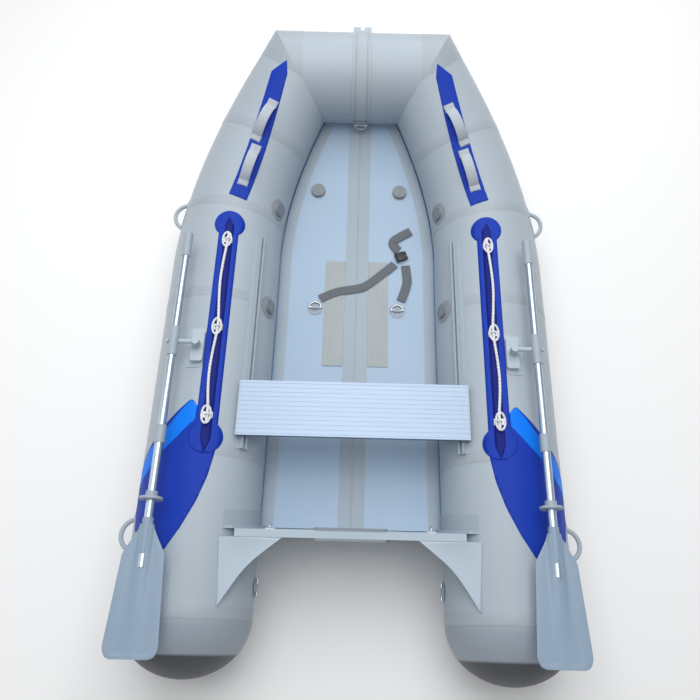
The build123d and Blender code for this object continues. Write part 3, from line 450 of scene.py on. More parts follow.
MITRE_MIDDLE, _, _, MITRE_WAY = station(BOW_Y)
MITRE_NORMAL = (MITRE_WAY + Vector((-1, 0, 0))).normalized()


def slide_to_mitre(verts, way):
    """Run the last ring of a tube on until it lies in the plane of the mitred corner."""
    for vert in verts:
        vert.co += way * (MITRE_MIDDLE - vert.co).dot(MITRE_NORMAL) / way.dot(MITRE_NORMAL)


def tube_coat(name, colour, rough=0.42, mottle=0.035, sheen=1.0):
    """Coated fabric: a fine woven base under a satin skin, faintly dulled in patches."""
    coat = Coat(name, rough=rough, Coat_Roughness=0.35, Coat_Weight=0.12 * sheen,
                Specular_IOR_Level=0.5 * sheen)
    coat.set("Base Color", coat.mix(coat.noise(3.2, 4.0), *mottled(colour, mottle)))
    coat.set("Roughness", coat.noise(9.0) * 0.12 + (rough - 0.06))
    weave = coat.threads("X", 0.0011) + coat.threads("Y", 0.0011) + coat.threads("Z", 0.0011)
    coat.bump(weave * 0.25 + coat.noise(26.0, 2.0) * 1.6, 0.0006, 0.5)
    return coat.material


TUBE_GREY = tube_coat("tube_fabric", shade(170, 182, 192))
TAPE_GREY = tube_coat("seam_tape", shade(164, 175, 185), 0.38)
SIDE_STEPS = 18
BEND_STEPS = 22


def side_hoops(grown=0.0):
    ys = [SEAM_Y + (BEND_Y - SEAM_Y) * i / SIDE_STEPS for i in range(SIDE_STEPS)]
    ys += [BEND_Y + BEND_R * sin(BEND_TURN * i / BEND_STEPS) for i in range(BEND_STEPS + 1)]
    return [hoop(min(y, BOW_Y), grown) for y in ys]


side_tube = bmesh.new()
last = sleeve(side_tube, side_hoops() + [hoop(BOW_Y, 0.0, 0.001)], 128, capped=False)
slide_to_mitre({vert for edge in last for vert in edge.verts}, MITRE_WAY)
bmesh.ops.holes_fill(side_tube, edges=[edge for edge in side_tube.edges if edge.is_boundary], sides=0)
fit_both("side_tube", side_tube, TUBE_GREY, "tube_fabric", ["tube_{side}"], smooth=60)

BOW_RING = Matrix.Translation((0, BOW_Y, BOW_Z)) @ Matrix.Rotation(-pi / 2, 4, "Y")


def bow_sleeve(bm, grown=0.0, segments=128):
    """Half of the bow tube, from the boat's middle to the starboard corner."""
    size = Matrix.Diagonal((BOW_R + grown, BOW_R + grown, 1, 1))
    spots = [Matrix.Translation((BOW_HALF * share, 0, 0)) @ BOW_RING @ size
             for share in (0, 0.2, 0.4, 0.4001)]
    end = sleeve(bm, spots, segments, capped=False)
    slide_to_mitre({vert for edge in end for vert in edge.verts}, Vector((1, 0, 0)))


bow_tube = bmesh.new()
bow_sleeve(bow_tube)
other_half = bow_tube.copy()
bmesh.ops.scale(other_half, vec=(-1, 1, 1), verts=other_half.verts)
half_mesh = bpy.data.meshes.new("bow_half")
other_half.to_mesh(half_mesh)
other_half.free()
bow_tube.from_mesh(half_mesh)
bpy.data.meshes.remove(half_mesh)
bmesh.ops.remove_doubles(bow_tube, verts=bow_tube.verts, dist=1e-5)
bmesh.ops.holes_fill(bow_tube, edges=[edge for edge in bow_tube.edges if edge.is_boundary], sides=0)
fit("bow_tube", bow_tube, TUBE_GREY, "tube_fabric", ["tube_bow"], smooth=60)

# ---- Seam tapes --------------------------------------------------------------------
# Strips of the same fabric, 40 mm wide, welded over the joints between two panels,
# round the tubes and along the mitred corners. Their edges dip just under the skin.
TAPE = 0.0009
TAPE_WIDE = 0.040
TAPE_DIP = 0.0005
TAPE_REACH = 0.026
HOOP_SEAMS = (-1.070, -0.560, 0.040, 0.470, 0.830)


def hoop_band(bm, y, wide, lift):
    """A closed band round the tube at y."""
    middle, across, up, along = station(y)
    edges = ((-wide / 2, -TAPE_DIP), (-wide / 2, lift * 0.5), (-wide / 2 + 0.002, lift),
             (wide / 2 - 0.002, lift), (wide / 2, lift * 0.5), (wide / 2, -TAPE_DIP))
    rings = []
    for ahead, grown in edges:
        shrink = (radius_at(y + ahead * along.y) + grown) / radius_at(y)
        rings.append(hoop(y, 0.0, ahead) @ Matrix.Diagonal((shrink, shrink, 1, 1)))
    sleeve(bm, rings, 128, capped=False)


tapes = bmesh.new()
for seam in HOOP_SEAMS:
    hoop_band(tapes, seam, TAPE_WIDE, TAPE)
fit_both("seam_tapes", tapes, TAPE_GREY, "tube_fabric", smooth=35)

corner_tapes = bmesh.new()
corner_rings = [hoop(BOW_Y, -TAPE_DIP, -TAPE_REACH), hoop(BOW_Y, TAPE, -TAPE_WIDE / 2),
                hoop(BOW_Y, TAPE, 0.0005)]
corner_edges = sleeve(corner_tapes, corner_rings, 128, False)
slide_to_mitre({vert for edge in corner_edges for vert in edge.verts}, MITRE_WAY)
bow_side = bmesh.new()
size = Matrix.Diagonal((BOW_R + TAPE, BOW_R + TAPE, 1, 1))
inner = Matrix.Diagonal((BOW_R - TAPE_DIP, BOW_R - TAPE_DIP, 1, 1))
spots = [Matrix.Translation((BOW_HALF - TAPE_REACH, 0, 0)) @ BOW_RING @ inner,
         Matrix.Translation((BOW_HALF - TAPE_WIDE / 2, 0, 0)) @ BOW_RING @ size,
         Matrix.Translation((BOW_HALF + 0.0001, 0, 0)) @ BOW_RING @ size]
corner_edges = sleeve(bow_side, spots, 128, False)
slide_to_mitre({vert for edge in corner_edges for vert in edge.verts}, Vector((1, 0, 0)))
fit_both("corner_tapes", corner_tapes, TAPE_GREY, "tube_fabric", smooth=35)
fit_both("corner_tapes_bow", bow_side, TAPE_GREY, "tube_fabric", smooth=35)

# ---- Stern cones -------------------------------------------------------------------
# Moulded rubber ends, glued over the tubes' after ends, with a rolled rim and a raised
# ring half way down; beyond the ring the rubber is painted darker, as painted shade where the cone turns down
# and away.
CONE_LONG = cone_high.y - cone_low.y
CONE_STEPS = 26
cone_coat = Coat("cone_rubber", rough=0.5)
cone_where = cone_coat.node("ShaderNodeSeparateXYZ", {}, {0: cone_coat.where}, "Y")
# Painted shade: 0 aft of the raised ring, where the cone's end is painted dark as if in shade, rising to 1
# forward of it.
cone_painted_shade = cone_coat.node("ShaderNodeMapRange", {}, {
    0: cone_where, 1: SEAM_Y - 0.108, 2: SEAM_Y - 0.100, 3: 0.0, 4: 1.0})
cone_coat.set("Base Color", cone_coat.mix(cone_painted_shade, shade(70, 73, 78), shade(152, 162, 173)))
cone_coat.set("Roughness", cone_coat.noise(14.0) * 0.16 + 0.42)
cone_coat.bump(cone_coat.noise(420.0, 2.0) + cone_coat.noise(30.0) * 2.0, 0.0004, 0.5)
cone = bmesh.new()


def cone_ring(down, reach):
    """Where a unit circle goes to become the cone's ring that far behind the seam."""
    place = Matrix.Translation((TUBE_X, SEAM_Y - down, TUBE_R)) @ Matrix.Rotation(pi / 2, 4, "X")
    return place @ Matrix.Diagonal((reach, reach, 1, 1))


cone_rings = [cone_ring(0.0001, TUBE_R - 0.002)]
for i in range(CONE_STEPS):
    fall = pi / 2 * i / CONE_STEPS
    down = CONE_LONG * sin(fall)
    raised = down < 0.022 or 0.092 < down < 0.104
    cone_rings.append(cone_ring(down, TUBE_R * cos(fall) - (0.0002 if raised else 0.0016)))
sleeve(cone, cone_rings, 96)
fit_both("stern_cone_moulding", cone, cone_coat.material, "cone_rubber", ["stern_cone_{side}"], smooth=50)

# ---- Baffles -----------------------------------------------------------------------
# A domed wall of fabric welded across each tube at its mitred corner, which keeps the
# bow chamber apart from the side chambers.
baffle = bmesh.new()
DOME = 0.035
baffle_rings = []
for i in range(9):
    share = 1 - i / 9
    baffle_rings.append(hoop(BOW_Y, 0.0, -0.060 - DOME * (1 - share**2))
                        @ Matrix.Diagonal((share * 0.985, share * 0.985, 1, 1)))
sleeve(baffle, baffle_rings, 64)
fit_both("chamber_baffle", baffle, TUBE_GREY, "tube_fabric", ["chamber_baffles"], smooth=60)

# ---- Air deck ----------------------------------------------------------------------
# Two skins of coated fabric held apart by thousands of threads and blown up hard, so
# the floor is a flat board with rounded edges that lies between the tubes.
strip_low, strip_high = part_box("deck_strip")
DECK_TOP = strip_low.z
DECK_DROP = TUBE_R - DECK_TOP
DECK_THICK = 0.070
DECK_ROUND = 0.013
RAKE = radians(9)
BOARD_Y, BOARD_TOP, BOARD_THICK = -0.830, 0.402, 0.025


def deck_z(y):
    return DECK_TOP + rise_at(y)


def deck_reach(y, height):
    """How far the deck reaches outboard at y before it meets the tube."""
    low, high = 0.0, TUBE_X
    for _ in range(20):
        middle = (low + high) / 2
        if tube_gap(Vector((middle, y, height))) > 0.0006:
            low = middle
        else:
            high = middle
    return low


def board_face(height, ahead=0.0):
    """Where the forward face of the leaning transom is at a height."""
    return BOARD_Y + (BOARD_TOP - height) * sin(RAKE) / cos(RAKE) + BOARD_THICK / 2 / cos(RAKE) + ahead


def deck_front():
    """Where the deck's top meets the after side of the bow tube."""
    y = BOW_Y - BOW_R
    while hypot(y - BOW_Y, deck_z(y) - BOW_Z) > BOW_R + 0.001 and y < BOW_Y:
        y += 0.0005
    return y


DECK_FRONT = deck_front()
DECK_COAT = Coat("deck_fabric", rough=0.46, Coat_Weight=0.08, Coat_Roughness=0.4)
deck_tones = shade(163, 187, 211), shade(176, 198, 220)
DECK_COAT.set("Base Color", DECK_COAT.mix(DECK_COAT.noise(2.4, 4.0), *deck_tones))
DECK_COAT.set("Roughness", DECK_COAT.noise(8.0) * 0.14 + 0.40)
deck_grain = DECK_COAT.threads("X", 0.0035) * DECK_COAT.threads("Y", 0.0035)
DECK_COAT.bump(deck_grain + DECK_COAT.noise(60.0, 2.0) * 0.8, 0.0007, 0.55)
deck = bmesh.new()
bmesh.ops.create_grid(deck, x_segments=44, y_segments=80, size=1.0)
under = bmesh.ops.extrude_face_region(deck, geom=deck.faces[:], use_keep_orig=True)["geom"]
under = {part for part in under if isinstance(part, bmesh.types.BMVert)}
for vert in deck.verts:
    share, run = vert.co.x, (vert.co.y + 1) / 2
    y = board_face(DECK_TOP, 0.002) * (1 - run) + DECK_FRONT * run
    top = deck_z(y)
    reach = deck_reach(y, top)
    x = reach * sin(share * pi / 2)
    inset = max(0.0, DECK_ROUND - (reach - abs(x)))
    drop = DECK_ROUND - sqrt(max(0.0, DECK_ROUND**2 - inset**2))
    if vert in under:
        drop = DECK_THICK - drop
        y = board_face(top - drop, 0.002) if run == 0 else y
    vert.co = (x, y, top - drop)
fit("air_deck_panel", deck, DECK_COAT.material, "deck_fabric", ["air_deck"], smooth=50)

# ---- Deck tape and side flaps ------------------------------------------------------
# A wide tape with a raised line down its middle covers the join of the two halves of
# the deck, and a narrower one is welded along each of its edges.
STRIP_HALF = strip_high.x
STRIP_COAT = tube_coat("deck_tape", shade(164, 178, 190), 0.5)


def follow_deck(bm, outline, y_aft, y_fore, lift=0.0, steps=40, sway=None):
    """Draw a closed outline (across, up) forward over the deck as it rises."""
    first = [bm.verts.new((x, y_aft, deck_z(y_aft) + lift + z)) for x, z in outline]
    face = bm.faces.new(first)
    edges = list(face.edges)
    was_y, was_sway = y_aft, sway(y_aft) if sway else 0.0
    for i in range(1, steps + 1):
        y = y_aft + (y_fore - y_aft) * i / steps
        edges, verts = draw_on(bm, edges)
        over = sway(y) if sway else 0.0
        bmesh.ops.translate(bm, vec=(over - was_sway, y - was_y, deck_z(y) - deck_z(was_y)), verts=verts)
        was_y, was_sway = y, over
    bmesh.ops.contextual_create(bm, geom=edges)


strip = bmesh.new()
STRIP_OUTLINE = [(-STRIP_HALF, -0.0004), (-STRIP_HALF, 0.0010), (-STRIP_HALF + 0.003, 0.0014),
                 (-0.0035, 0.0014), (-0.0020, 0.0030)]
STRIP_OUTLINE += [(-x, z) for x, z in reversed(STRIP_OUTLINE)]
follow_deck(strip, STRIP_OUTLINE, board_face(DECK_TOP, 0.004), DECK_FRONT - 0.004)
fit("deck_middle_tape", strip, STRIP_COAT, "deck_strip", ["deck_strip"], smooth=30)
edge_tape = bmesh.new()
EDGE_OUTLINE = [(-0.052, -0.0004), (-0.052, 0.0007), (-0.014, 0.0007), (-0.014, -0.0004)]
follow_deck(edge_tape, EDGE_OUTLINE, board_face(DECK_TOP, 0.006), DECK_FRONT - 0.01,
            sway=lambda y: deck_reach(y, deck_z(y)))
for vert in edge_tape.verts:
    vert.co.x += deck_reach(board_face(DECK_TOP, 0.006), DECK_TOP)
fit_both("deck_edge_tape", edge_tape, STRIP_COAT, "deck_strip", smooth=30)

# ---- Grip pads ---------------------------------------------------------------------
# Two mats of ribbed rubber glued down where people stand, one each side of the tape.
PAD_LOW, PAD_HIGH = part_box("deck_pads")
PAD_THICK = 0.0040
PAD_RIBS = 12
PAD_COAT = Coat("grip_rubber", rough=0.72)
PAD_COAT.set("Base Color", PAD_COAT.mix(PAD_COAT.noise(12.0), shade(168, 177, 180), shade(186, 192, 193)))
PAD_COAT.bump(PAD_COAT.noise(600.0, 2.0), 0.0003, 0.6)
pads = bmesh.new()
pad_in, pad_out = STRIP_HALF + 0.001, PAD_HIGH.x
pitch = (pad_out - pad_in) / PAD_RIBS
outline = [(pad_in, -0.0004)]
for i in range(PAD_RIBS):
    left = pad_in + i * pitch
    outline += [(left + pitch * 0.02, 0.0026), (left + pitch * 0.22, PAD_THICK),
                (left + pitch * 0.60, PAD_THICK), (left + pitch * 0.80, 0.0026)]
outline += [(pad_out, 0.0026), (pad_out, -0.0004)]
follow_deck(pads, outline, PAD_LOW.y, PAD_HIGH.y, steps=24)
for side, shape in (("port", mirrored(pads)), ("starboard", pads)):
    fit(f"grip_pad_{side}", shape, PAD_COAT.material, "deck_pads", ["deck_pads"], smooth=0)

# ---- Bottom, keel tube and strake --------------------------------------------------
# The bottom is one sheet of heavy fabric stretched between the tubes, pushed into a
# shallow V by an inflated keel, with a wear strip glued along its middle.
skin_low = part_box("bottom_skin")[0]
keel_low, keel_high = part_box("keel_tube")
SKIN_EDGE, KEEL_DEPTH, SKIN_THICK = 0.185, 0.021, 0.0016
SKIN_COAT = tube_coat("bottom_fabric", shade(134, 145, 156), 0.5, 0.06)
SKIN_AFT = skin_low.y


def skin_edge(y):
    """The height of the bottom where it leaves the tubes, and its V's depth there."""
    share = turn_at(y) / BEND_TURN
    edge = TUBE_R + rise_at(y) - SKIN_EDGE + (SKIN_EDGE - BOW_R - SKIN_THICK - 0.0004) * share
    return edge, KEEL_DEPTH * (1 - share)


skin = bmesh.new()
bmesh.ops.create_grid(skin, x_segments=36, y_segments=60, size=1.0)
for vert in skin.verts:
    share, run = vert.co.x, (vert.co.y + 1) / 2
    y = SKIN_AFT + (BOW_Y - 0.004 - SKIN_AFT) * run
    edge, depth = skin_edge(y)
    reach = deck_reach(y, edge)
    vert.co = (reach * share, y, edge - depth * (1 - abs(share)) ** 1.15)
bottom = fit("bottom_sheet", skin, SKIN_COAT, "bottom_fabric", ["bottom_skin"], smooth=50)
thicken_piece(bottom, SKIN_THICK, -1 if bottom.data.polygons[0].normal.z < 0 else 1)

keel = bmesh.new()
keel_rings = []
KEEL_STEPS = 28
for i in range(KEEL_STEPS + 1):
    y = keel_low.y + (keel_high.y - keel_low.y) * i / KEEL_STEPS
    edge, depth = skin_edge(y)
    roof, base = deck_z(y) - DECK_THICK - 0.0026, edge - depth + SKIN_THICK + 0.0045
    wide = keel_high.x * (1 - 0.3 * turn_at(y) / BEND_TURN)
    flat_end = 0.35 if i in (0, KEEL_STEPS) else 0.8 if i in (1, KEEL_STEPS - 1) else 1.0
    turn = Matrix.Rotation(pi / 2, 4, "X")
    grow = Matrix.Diagonal((wide * flat_end, (roof - base) / 2 * flat_end, 1, 1))
    keel_rings.append(Matrix.Translation((0, y, (roof + base) / 2)) @ turn @ grow)
sleeve(keel, keel_rings, 40)
fit("inflated_keel", keel, TUBE_GREY, "tube_fabric", ["keel_tube"], smooth=60)


def dress(coat, *nodes):
    """Give CAD parts whose shape is right their finish."""
    for node in nodes:
        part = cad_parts[node]
        part.data.materials.clear()
        part.data.materials.append(coat)


wear_strip = bmesh.new()
STRAKE_OUTLINE = [(-0.030, -0.0004), (-0.030, -0.0024), (-0.026, -0.0030), (-0.012, -0.0030),
                  (-0.010, -0.0020)]
STRAKE_OUTLINE += [(-x, z) for x, z in reversed(STRAKE_OUTLINE)]
follow_deck(wear_strip, STRAKE_OUTLINE, skin_low.y + 0.002, 0.64,
            lift=-(SKIN_EDGE + KEEL_DEPTH - DECK_DROP))
fit("keel_wear_strip", wear_strip, SKIN_COAT, "cone_rubber", ["keel_strake"], smooth=30)


# ---- Transom -----------------------------------------------------------------------
# A marine plywood board, painted grey, which leans aft. It stands in moulded rubber
# holders glued to the tubes and has a plastic clamp pad bolted on each side.
PLY = Coat("painted_ply", rough=0.38, Coat_Weight=0.25, Coat_Roughness=0.2)
ply_grain = PLY.noise(5.0, 5.0, (0.6, 8.0, 8.0))
PLY.set("Base Color", PLY.mix(ply_grain, shade(170, 188, 200), shade(184, 200, 212)))
PLY.bump(ply_grain + PLY.noise(90.0) * 0.3, 0.0006, 0.35)
dress(PLY.material, "transom_board")


def moulded(name, colour, rough=0.45, grain=700.0, mottle=0.03):
    """Moulded plastic: a fine spark-eroded grain and a faint mottle in the colour."""
    coat = Coat(name, rough=rough)
    coat.set("Base Color", coat.mix(coat.noise(18.0), *mottled(colour, mottle)))
    coat.set("Roughness", coat.noise(30.0) * 0.10 + (rough - 0.05))
    coat.bump(coat.noise(grain, 2.0), 0.00025, 0.6)
    return coat.material


CLAMP_PAD = moulded("clamp_pad", shade(136, 144, 154), 0.55)
HOLDER = moulded("holder_rubber", shade(160, 172, 183), 0.6, 300.0)
GREY_PLASTIC = moulded("grey_plastic", shade(170, 183, 194), 0.42)
DARK_PLASTIC = moulded("dark_plastic", shade(92, 98, 106), 0.4)


def brushed(name, colour, rough, axis):
    """Metal with fine drawn lines along one way."""
    coat = Coat(name, rough=rough, metal=1.0)
    stretch = {"X": (2, 160, 160), "Y": (160, 2, 160)}[axis]
    lines = coat.noise(6.0, 4.0, stretch)
    coat.set("Base Color", coat.mix(lines, [level * 0.93 for level in colour[:3]] + [1], colour))
    coat.set("Roughness", lines * 0.16 + (rough - 0.08))
    coat.bump(lines, 0.0002, 0.4)
    return coat.material


STEEL = brushed("polished_steel", shade(214, 217, 221), 0.24, "Y")
dress(CLAMP_PAD, "motor_plate_outer", "motor_plate_inner")
dress(HOLDER, "transom_holders")
dress(STEEL, "motor_plate_bolts", "transom_eyes")
dress(GREY_PLASTIC, "drain_valve")
dress(DARK_PLASTIC, "drain_flap")

# ---- Transom gussets ---------------------------------------------------------------
# A three-cornered web of tube fabric stretched from each end of the transom to the
# tube behind it, with a doubled hem along its free edge.
GUSSET_IN, GUSSET_AFT = (0.222, -0.8435), (0.414, -1.058)
GUSSET_CORNER = (0.424, -0.8435)
GUSSET_THICK = 0.0012
GUSSET_COAT = tube_coat("gusset_fabric", shade(178, 193, 206), 0.44)


def gusset_height(x, y):
    """The web falls a little towards its after corner and sags between its edges."""
    aft = (y - GUSSET_IN[1]) / (GUSSET_AFT[1] - GUSSET_IN[1])
    inboard = (GUSSET_CORNER[0] - x) / (GUSSET_CORNER[0] - GUSSET_IN[0])
    sag = 0.007 * 27 * max(0.0, aft) * max(0.0, inboard) * max(0.0, 1 - aft - inboard)
    return 0.4005 - 0.009 * aft - sag


def gusset_sheet(bm, hem):
    """The web as fine cells, or with hem the doubled strip along its free edge."""
    inner, outer = (Vector((*place, 0)) for place in (GUSSET_IN, GUSSET_AFT))
    corner = Vector((*GUSSET_CORNER, 0))
    bmesh.ops.create_grid(bm, x_segments=22, y_segments=22, size=1.0)
    for vert in bm.verts:
        along, into = (vert.co.x + 1) / 2, (vert.co.y + 1) / 2
        into *= 0.085 if hem else 1.0
        edge = inner.lerp(outer, along)
        edge += (corner - edge).normalized() * 0.020 * 4 * along * (1 - along)
        place = edge.lerp(corner, into * 0.999)
        lift = 0.0009 if hem else 0.0
        vert.co = (place.x, place.y, gusset_height(place.x, place.y) + lift)


for hem in (False, True):
    web = bmesh.new()
    gusset_sheet(web, hem)
    bmesh.ops.recalc_face_normals(web, faces=web.faces)
    if web.faces[:][0].normal.z < 0:
        bmesh.ops.reverse_faces(web, faces=web.faces)
    nodes = [] if hem else ["transom_gussets"]
    name = "gusset_hem" if hem else "gusset_web"
    for piece in fit_both(name, web, GUSSET_COAT, "tube_fabric", nodes, turn_out=False, smooth=60):
        thicken_piece(piece, GUSSET_THICK)

# ---- Seat --------------------------------------------------------------------------
# An anodised aluminium plank, extruded with a ribbed top, capped in plastic, which
# slides fore and aft in two slotted tracks glued along the tubes.
ANODISED = brushed("anodised_aluminium", shade(144, 158, 176), 0.42, "X")
SHAFT_METAL = brushed("drawn_aluminium", shade(196, 212, 226), 0.3, "Y")
dress(ANODISED, "seat_plank")
dress(GREY_PLASTIC, "seat_end_caps", "seat_runners", "seat_rail_starboard", "seat_rail_port")

# ---- Oars --------------------------------------------------------------------------
# Drawn aluminium tube with a moulded blade pushed on, a drip ring, a joiner where the
# two halves meet, a sleeve for the rowlock's pin and a soft ribbed grip.
blade_low, blade_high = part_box("oar_blade_starboard")
shaft_low, shaft_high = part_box("oar_shaft_starboard")
OAR_X, OAR_Z = (shaft_low.x + shaft_high.x) / 2, (shaft_low.z + shaft_high.z) / 2
NECK_Y, TIP_Y = -0.822, blade_low.y
BLADE_HALF = (blade_high.x - blade_low.x) / 2
SOCKET_Y = blade_high.y
BLADE = moulded("blade_plastic", shade(140, 160, 181), 0.4)
OAR_PLASTIC = moulded("oar_plastic", shade(160, 172, 184), 0.42)
dress(SHAFT_METAL, "oar_shaft_starboard", "oar_shaft_port")
dress(OAR_PLASTIC, "oar_fittings_starboard", "oar_fittings_port")


def blade_edge(run):
    """Half the blade's width a share of the way from its neck to its tip."""
    shoulder, tip_round, neck_half, corner = 0.24, 0.10, 0.021, 0.026
    flared = BLADE_HALF * (0.72 + 0.28 * min(1.0, run / (1 - tip_round)))
    if run < shoulder:
        ease = run / shoulder
        return neck_half + (flared - neck_half) * (ease * ease * (3 - 2 * ease) * 0.45 + ease * 0.55)
    if run > 1 - tip_round:
        down = (run - 1 + tip_round) / tip_round
        return flared - corner * (1 - sqrt(max(0.0, 1 - down**2)))
    return flared


blade = bmesh.new()
bmesh.ops.create_grid(blade, x_segments=36, y_segments=56, size=1.0)
back = bmesh.ops.extrude_face_region(blade, geom=blade.faces[:], use_keep_orig=True)["geom"]
back = {part for part in back if isinstance(part, bmesh.types.BMVert)}
for vert in blade.verts:
    share, run = vert.co.x, (1 - vert.co.y) / 2
    run = run * run * (3 - 2 * run) * 0.3 + run * 0.7
    reach = blade_edge(run)
    x = reach * share
    rim = 1 - abs(share) ** 6
    ridge = max(0.0, 0.0135 * (1 - run * 1.25)) * max(0.0, 1 - (abs(x) / 0.024) ** 2) ** 0.7
    dish = 0.0035 * (1 - abs(2 * abs(share) - 1)) * (1 if run < 0.97 else 0)
    half = 0.0012 + 0.0018 * rim + ridge
    height = half - dish * 0.5 if vert in back else -half
    vert.co = (OAR_X + x, NECK_Y + (TIP_Y - NECK_Y) * run, OAR_Z + height)
socket = bmesh.new()
spots = [(SOCKET_Y, 0.0145), (SOCKET_Y, 0.0168), (SOCKET_Y - 0.004, 0.0172), (SOCKET_Y - 0.010, 0.0172),
         (NECK_Y, 0.0168), (NECK_Y - 0.050, 0.0160), (NECK_Y - 0.120, 0.0125), (NECK_Y - 0.210, 0.0060),
         (NECK_Y - 0.260, 0.0022)]
rings = [Matrix.Translation((OAR_X, y, OAR_Z)) @ Matrix.Rotation(pi / 2, 4, "X")
         @ Matrix.Diagonal((r, r, 1, 1)) for y, r in spots]
sleeve(socket, rings, 40)
fit_both("blade_sheet", blade, BLADE, "oar_plastic", ["oar_blade_{side}"], "oar_{side}", smooth=50)
fit_both("blade_socket", socket, BLADE, "oar_plastic", [], "oar_{side}", smooth=40)

# ---- Rowlocks ----------------------------------------------------------------------
# Moulded blocks on welded pads hold a turning post; its arm carries the pin that
# goes through the oar's sleeve.
ROWLOCK = moulded("rowlock_plastic", shade(176, 190, 202), 0.4)
dress(ROWLOCK, "rowlock_bases", "rowlock_starboard", "rowlock_port")

# ---- Valves ------------------------------------------------------------------------
# Screw valves of grey plastic with a flange welded to the fabric inside, a sprung
# poppet and a cap with a finger bar.
VALVE = moulded("valve_plastic", shade(150, 158, 166), 0.45)
CAP = moulded("cap_plastic", shade(128, 135, 143), 0.42)
dress(VALVE, "valve_bodies", "valve_poppets")
caps = [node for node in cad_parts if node.startswith("valve_cap")]
dress(CAP, *caps)


# ---- Tube strips -------------------------------------------------------------------
# Royal blue reinforcement under the lifelines and the grab loops, cut from coated
# fabric. A darker navy sheet down the middle of each lifeline's strip is painted shadow of the rope.
ROYAL = tube_coat("royal_blue", shade(20, 58, 172), 0.5, 0.05, 0.3)
# Dark navy used only as painted shadow of the lifeline rope, laid as a thin sheet down the middle of the blue
# strip.
ROPE_SHADOW_BLUE = tube_coat("painted_rope_shadow", shade(8, 26, 120), 0.5, 0.05, 0.3)
AZURE = tube_coat("azure_blue", shade(0, 124, 246), 0.45, 0.04, 0.3)
STRIP_LIFT = 0.0018


def outline_face(bm, outline, rounded=0.0):
    """A flat face from an outline in plan, its corners rounded."""
    verts = [bm.verts.new((x, y, 0)) for x, y in outline]
    bm.faces.new(verts)
    if rounded:
        bmesh.ops.bevel(bm, geom=bm.verts[:], affect="VERTICES", offset=rounded, segments=8, profile=0.5,
                        material=-1)


def cut_fine(bm, step=0.010):
    """Cut a flat shape into small cells, so that it can take the tube's curve."""
    for axis, normal in ((0, (1, 0, 0)), (1, (0, 1, 0))):
        low = min(vert.co[axis] for vert in bm.verts)
        high = max(vert.co[axis] for vert in bm.verts)
        for i in range(1, int((high - low) / step) + 1):
            place = [low + i * step] * 3
            bmesh.ops.bisect_plane(bm, geom=bm.verts[:] + bm.edges[:] + bm.faces[:], plane_co=place,
                                   plane_no=normal, dist=1e-5)


def drape(bm, lift, name, coat, slot, replaced=(), thickness=0.0015, step=0.010):
    """Lay a flat shape over the top of the tube and give it its thickness."""
    cut_fine(bm, step)
    for vert in bm.verts:
        vert.co = top_of_tube(vert.co.x, vert.co.y, lift)
    thicken(bm, name, coat, slot, replaced, thickness)


def thicken(bm, name, coat, slot, replaced, thickness):
    bmesh.ops.recalc_face_normals(bm, faces=bm.faces)
    if sum(face.normal.z for face in bm.faces) < 0:
        bmesh.ops.reverse_faces(bm, faces=bm.faces)
    for piece in fit_both(name, bm, coat, slot, replaced, turn_out=False, smooth=50):
        thicken_piece(piece, thickness)


STRIP_X, STRIP_HALF_WIDE, DISC_R = 0.500, 0.037, 0.058
STRIP_AFT, DISC_FORE = -0.520, 0.336


def strip_plan(half, disc, aft, fore, middle=STRIP_X):
    """A bar with a disc at each end, as one outline."""
    lean = asin(half / disc)
    points = []
    for centre, start in ((fore, -pi / 2 + lean), (aft, pi / 2 + lean)):
        sweep = 2 * pi - 2 * lean
        for i in range(29):
            turn = start + sweep * i / 28
            points.append((middle + disc * cos(turn), centre + disc * sin(turn)))
    return points


strip_face = bmesh.new()
outline_face(strip_face, strip_plan(STRIP_HALF_WIDE, DISC_R, STRIP_AFT, DISC_FORE))
drape(strip_face, STRIP_LIFT, "lifeline_strip", ROYAL, "blue_fabric", ["tube_strips"])
# The navy sheet under each rope is painted shadow of the rope, not a real tape.
rope_shadow_face = bmesh.new()
outline_face(rope_shadow_face, [(0.482, -0.530), (0.500, -0.575), (0.516, -0.530), (0.516, 0.330), (0.503, 0.366),
                         (0.482, 0.330)])
drape(rope_shadow_face, STRIP_LIFT + 0.0009, "lifeline_painted_shadow", ROPE_SHADOW_BLUE, "blue_fabric", thickness=0.0008)

GRAB_AFT, GRAB_FORE, GRAB_WIDE = Vector((0.480, 0.460)), Vector((0.335, 0.960)), 0.072
grab_way = (GRAB_FORE - GRAB_AFT).normalized()
grab_side = Vector((-grab_way.y, grab_way.x)) * (GRAB_WIDE / 2)
grab_plan = [GRAB_AFT + grab_side, GRAB_FORE + grab_side, GRAB_FORE + grab_way * 0.046 + grab_side * 0.55,
             GRAB_FORE - grab_side * 0.9, GRAB_AFT - grab_side]
grab_face = bmesh.new()
outline_face(grab_face, [tuple(point) for point in grab_plan])
drape(grab_face, STRIP_LIFT, "grab_strip", ROYAL, "blue_fabric", ["tube_strips"])


# ---- Quarter panels ----------------------------------------------------------------
# Blue fabric wraps the outside of each tube from the rowlock to the stern and comes to
# a point aft; an azure flash crosses its forward end.
PANEL_LIFT = 0.0010
PANEL_PLAN = [(0.560, -0.385), (0.470, -0.500), (0.462, -0.560), (0.478, -0.650), (0.505, -0.735),
              (0.545, -0.820), (0.592, -0.895), (0.640, -0.880), (0.700, -0.840), (0.738, -0.800)]
WRAP_FORE, WRAP_AFT, WRAP_GIRTH = -0.640, -0.770, 0.375


def girth(x):
    """How far round the tube from its crown a place in plan is, outboard being more."""
    return TUBE_R * asin(max(-1.0, min(1.0, (x - TUBE_X) / TUBE_R)))


def wrap(bm, lift):
    """Roll a flat shape round the tube: its x is the distance round from the crown."""
    for vert in bm.verts:
        vert.co = on_tube(vert.co.y, -degrees(vert.co.x / TUBE_R), lift).translation


